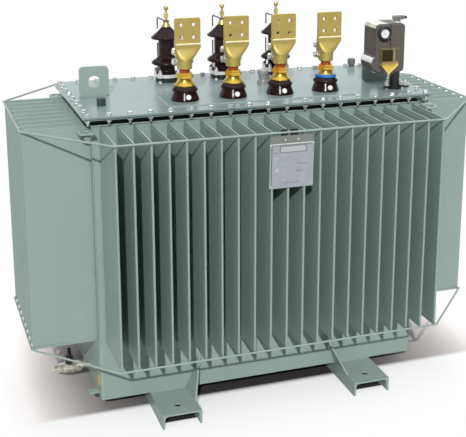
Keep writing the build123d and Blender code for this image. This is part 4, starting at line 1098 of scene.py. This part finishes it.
def drain_trim(shape):
    """Hexagon flats and the ring edges of the drain valve."""
    end, (_, y, z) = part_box("drain_valve")[1].x, middle_of("drain_valve")
    length, chamfer = 0.016, 0.0015
    for reach, across in ((0.033, 0.041), (0.105, 0.035)):
        corner = across / sqrt(3)
        cut = corner * 0.93
        outline = [(cut, 0), (corner, chamfer), (corner, length - chamfer), (cut, length)]
        turn(shape, outline, 6, facing((end - reach, y, z), (-1, 0, 0)), 0.2)
    edge = [(0.0228, 0), (0.0243, 0.001), (0.0243, 0.0026), (0.0228, 0.0036)]
    for reach in (0.06, 0.067, 0.088, 0.095):
        turn(shape, edge, 40, facing((end - reach, y, z), (-1, 0, 0)))


def yellow_patch(shape):
    """A plain yellow marker on the pan's left end."""
    x = pan_low.x - 0.0006
    front, back, foot, top = -0.304, -0.256, 0.112, 0.158
    patch(shape, [(x, front, foot), (x, back, foot), (x, back, top), (x, front, top)])


WELD_CREASE, CAST_CREASE = 80, 50

# Each function adds one form to a shape, and the piece takes the function's name
PIECES = (
    (cover_bolts, "zinc_steel"),
    (tank_welds, "tank_paint", WELD_CREASE),
    (gusset_welds, "tank_paint", WELD_CREASE),
    (cover_welds, "cover_paint", WELD_CREASE),
    (rod_welds, "galvanised_rod", WELD_CREASE),
    (phase_dots, "dial_white"),
    (clamp_bolts, "zinc_steel"),
    (palm_ridges, "connector_brass"),
    (connector_shoulders, "connector_brass", CAST_CREASE),
    (ring_studs, "zinc_steel"),
    (ring_rods, "horn_steel"),
    (lower_skirts, "brown_porcelain", CAST_CREASE),
    (lid_highlight_band, "relay_metal"),
    (boss_highlight_band, "clamp_aluminium"),
    (dial_bezel, "relay_black"),
    (relay_screws, "zinc_steel"),
    (vent_tip, "black_plastic"),
    (dial_marks, "black_plastic"),
    (plate_lines, "holder_steel"),
    (plate_fields, "plate_aluminium"),
    (plate_fold, "clamp_aluminium"),
    (plate_rivets, "zinc_steel"),
    (drain_trim, "valve_nickel"),
    (yellow_patch, "tank_paint"),
    (relay_oil, "clear_cover"),
    (sight_shade, "relay_black"),
    (sight_wall, "clear_cover"),
)

for add, slot, *crease in PIECES:
    shape = bmesh.new()
    add(shape)
    finish_piece(add.__name__, shape, slot, *crease)


# Floor, light and camera

# Painted shade on the floor under the tank: its front edge, and its ramp along X.
SHADE_FRONT, SHADE_EDGE = -0.318, -0.288
SHADE_SPAN = (-1.0, 1.2)
SHADE_STOPS = (
    (0.014, 0.95), (0.045, 0.8), (0.082, 0.6), (0.114, 0.42), (0.16, 0.28), (0.227, 0.16),
    (0.295, 0.06), (0.636, 0.05), (0.705, 0.2), (0.795, 0.42), (0.886, 0.62), (0.977, 0.95),
)
WHITE = (1, 1, 1, 1)


def shade_colour(tree, x):
    """The painted shade in the floor's colour under the tank, as it deepens and lightens along X."""
    ramp = put(tree, "ValToRGB", {0: spread(x, *SHADE_SPAN)})
    stops = ramp.color_ramp.elements
    for spot, level in SHADE_STOPS:
        stops.new(spot).color = (level, level * 0.93, level * 0.91, 1)
    stops.remove(stops[0])
    stops.remove(stops[-1])
    return ramp.outputs[0]


def make_floor():
    """Pale floor: keeps the shadow and a painted shade near the tank, and fades to plain white further out.
    """
    half = 30
    shape = bmesh.new()
    patch(shape, around(-half, -half, half, half, 0))
    finish, tree, skin = new_finish("studio floor", specular=0)
    skin["Roughness"].default_value = 1.0
    place = split(object_place(tree))
    x, y = place["X"], place["Y"]
    rays = put(tree, "LightPath").outputs
    seen = largest(rays["Is Camera Ray"], rays["Is Glossy Ray"], rays["Is Transmission Ray"])

    pale_tones = (0.93, 0.92, 0.915, 1), (0.95, 0.94, 0.935, 1)
    pale = blend(noise(object_place(tree), scale=1.5, detail=4.0), *pale_tones)
    # Painted shade: the floor's colour darkens under the tank.
    beside_edge = spread(y, SHADE_FRONT, SHADE_EDGE)
    under = times(beside_edge, spread(y, low=1.1, high=0.5))
    shaded = blend(under, pale, shade_colour(tree, x))
    # Painted shadow inside the skid channels.
    skid_middle, channel_half, channel_end = 0.412, 0.076, 0.475
    channel_painted_shadow = (0.055, 0.045, 0.043, 1)
    off_middle = absolute(minus(absolute(x), skid_middle))
    inside_x = spread(off_middle, channel_half, channel_half - 0.004)
    inside_y = spread(absolute(y), channel_end, channel_end - 0.01)
    inside = times(inside_x, inside_y)
    shaded = blend(inside, shaded, channel_painted_shadow)
    unseen_grey = (0.34, 0.34, 0.34, 1)
    wire(tree, skin, {"Base Color": blend(seen, unseen_grey, shaded)})

    near_front = spread(y, SHADE_EDGE, SHADE_FRONT, 0.0, 0.4)
    far_front = spread(y, SHADE_FRONT, -0.8, 0.0, 0.6)
    ends = largest(spread(x, -0.9, -1.06), spread(x, 1.0, 1.2))
    away = largest(plus(near_front, far_front), ends, spread(y, 0.6, 1.1))
    away = times(away, minus(1.0, inside))
    white = put(tree, "Emission", {"Color": WHITE, "Strength": 1.0}).outputs[0]
    lit = tree.nodes["Principled BSDF"].outputs[0]
    mix = put(tree, "MixShader", {0: times(away, seen), 1: lit, 2: white})
    tree.links.new(mix.outputs[0], tree.nodes["Material Output"].inputs["Surface"])
    object_of("studio_floor", shape, finish)


def make_world():
    """A dim room with light from above, and a white backdrop behind the tank."""
    world = bpy.data.worlds.new("studio")
    scene.world = world
    world.use_nodes = True
    tree = world.node_tree
    tree.nodes.clear()
    walls, ceiling = 0.15, 1.15
    cool_white = (0.95, 0.985, 1.0, 1)
    rays = put(tree, "LightPath").outputs
    way = split(put(tree, "TexCoord").outputs["Generated"])
    room = plus(times(spread(way["Z"], low=0.45, high=0.9), ceiling), walls)
    behind = times(spread(way["Y"], low=-0.1, high=0.3), spread(way["Z"], 0.5, 0.25))
    level = put(
        tree, "Mix", {0: rays["Is Glossy Ray"], 2: room, 3: largest(room, behind)}, data_type="FLOAT"
    )
    glow = put(tree, "Background", {"Color": cool_white, "Strength": level.outputs[0]}).outputs[0]
    white = put(tree, "Background", {"Color": WHITE, "Strength": 1.0}).outputs[0]
    seen = largest(rays["Is Camera Ray"], rays["Is Transmission Ray"])
    mix = put(tree, "MixShader", {0: seen, 1: glow, 2: white})
    put(tree, "OutputWorld", {0: mix.outputs[0]})


def make_lamp(name, kind, energy, place, aim):
    data = bpy.data.lights.new(name, kind)
    data.energy = energy
    lamp = link(name, data)
    lamp.location = place
    lamp.rotation_mode = "QUATERNION"
    lamp.rotation_quaternion = (Vector(aim) - Vector(place)).to_track_quat("-Z", "Y")
    return data


def make_lamps():
    """A sun over the camera's left shoulder, and a softbox high behind the tank."""
    key = make_lamp("key light", "SUN", 2.8, (-1.45, -4.05, 2.63), (0, 0, 0))
    key.angle = radians(1.3)
    softbox = make_lamp("back softbox", "AREA", 85, (1.4, 3.2, 4.4), (0.1, 0, 0.9))
    softbox.shape = "RECTANGLE"
    softbox.size, softbox.size_y = 3.0, 2.2


def make_camera():
    """The photograph's camera: angles in degrees, and its picture's middle and focal length in pixels."""
    yaw, pitch, roll = (radians(a) for a in (20.607, 14.662, 0.553))
    place = (-1.3949, -4.2173, 2.1738)
    width, height, focal, centre_u, centre_v = 466, 437, 1066.5, 281.6, 140.5
    sensor = 36
    ahead = Vector((sin(yaw) * cos(pitch), cos(yaw) * cos(pitch), -sin(pitch)))
    right = Vector((cos(yaw), -sin(yaw), 0))
    up = right.cross(ahead)
    right, up = right * cos(roll) + up * sin(roll), up * cos(roll) - right * sin(roll)
    data = bpy.data.cameras.new("camera")
    camera = link("camera", data)
    turned = Matrix((right, up, -ahead)).transposed()
    camera.matrix_world = moved(place) @ turned.to_4x4()
    data.sensor_fit = "HORIZONTAL"
    data.sensor_width = sensor
    data.lens = focal / width * sensor
    data.shift_x = (width / 2 - centre_u) / width
    data.shift_y = (centre_v - height / 2) / width
    scene.camera = camera


make_floor()
make_world()
make_lamps()
make_camera()

scene.view_settings.view_transform = "Standard"
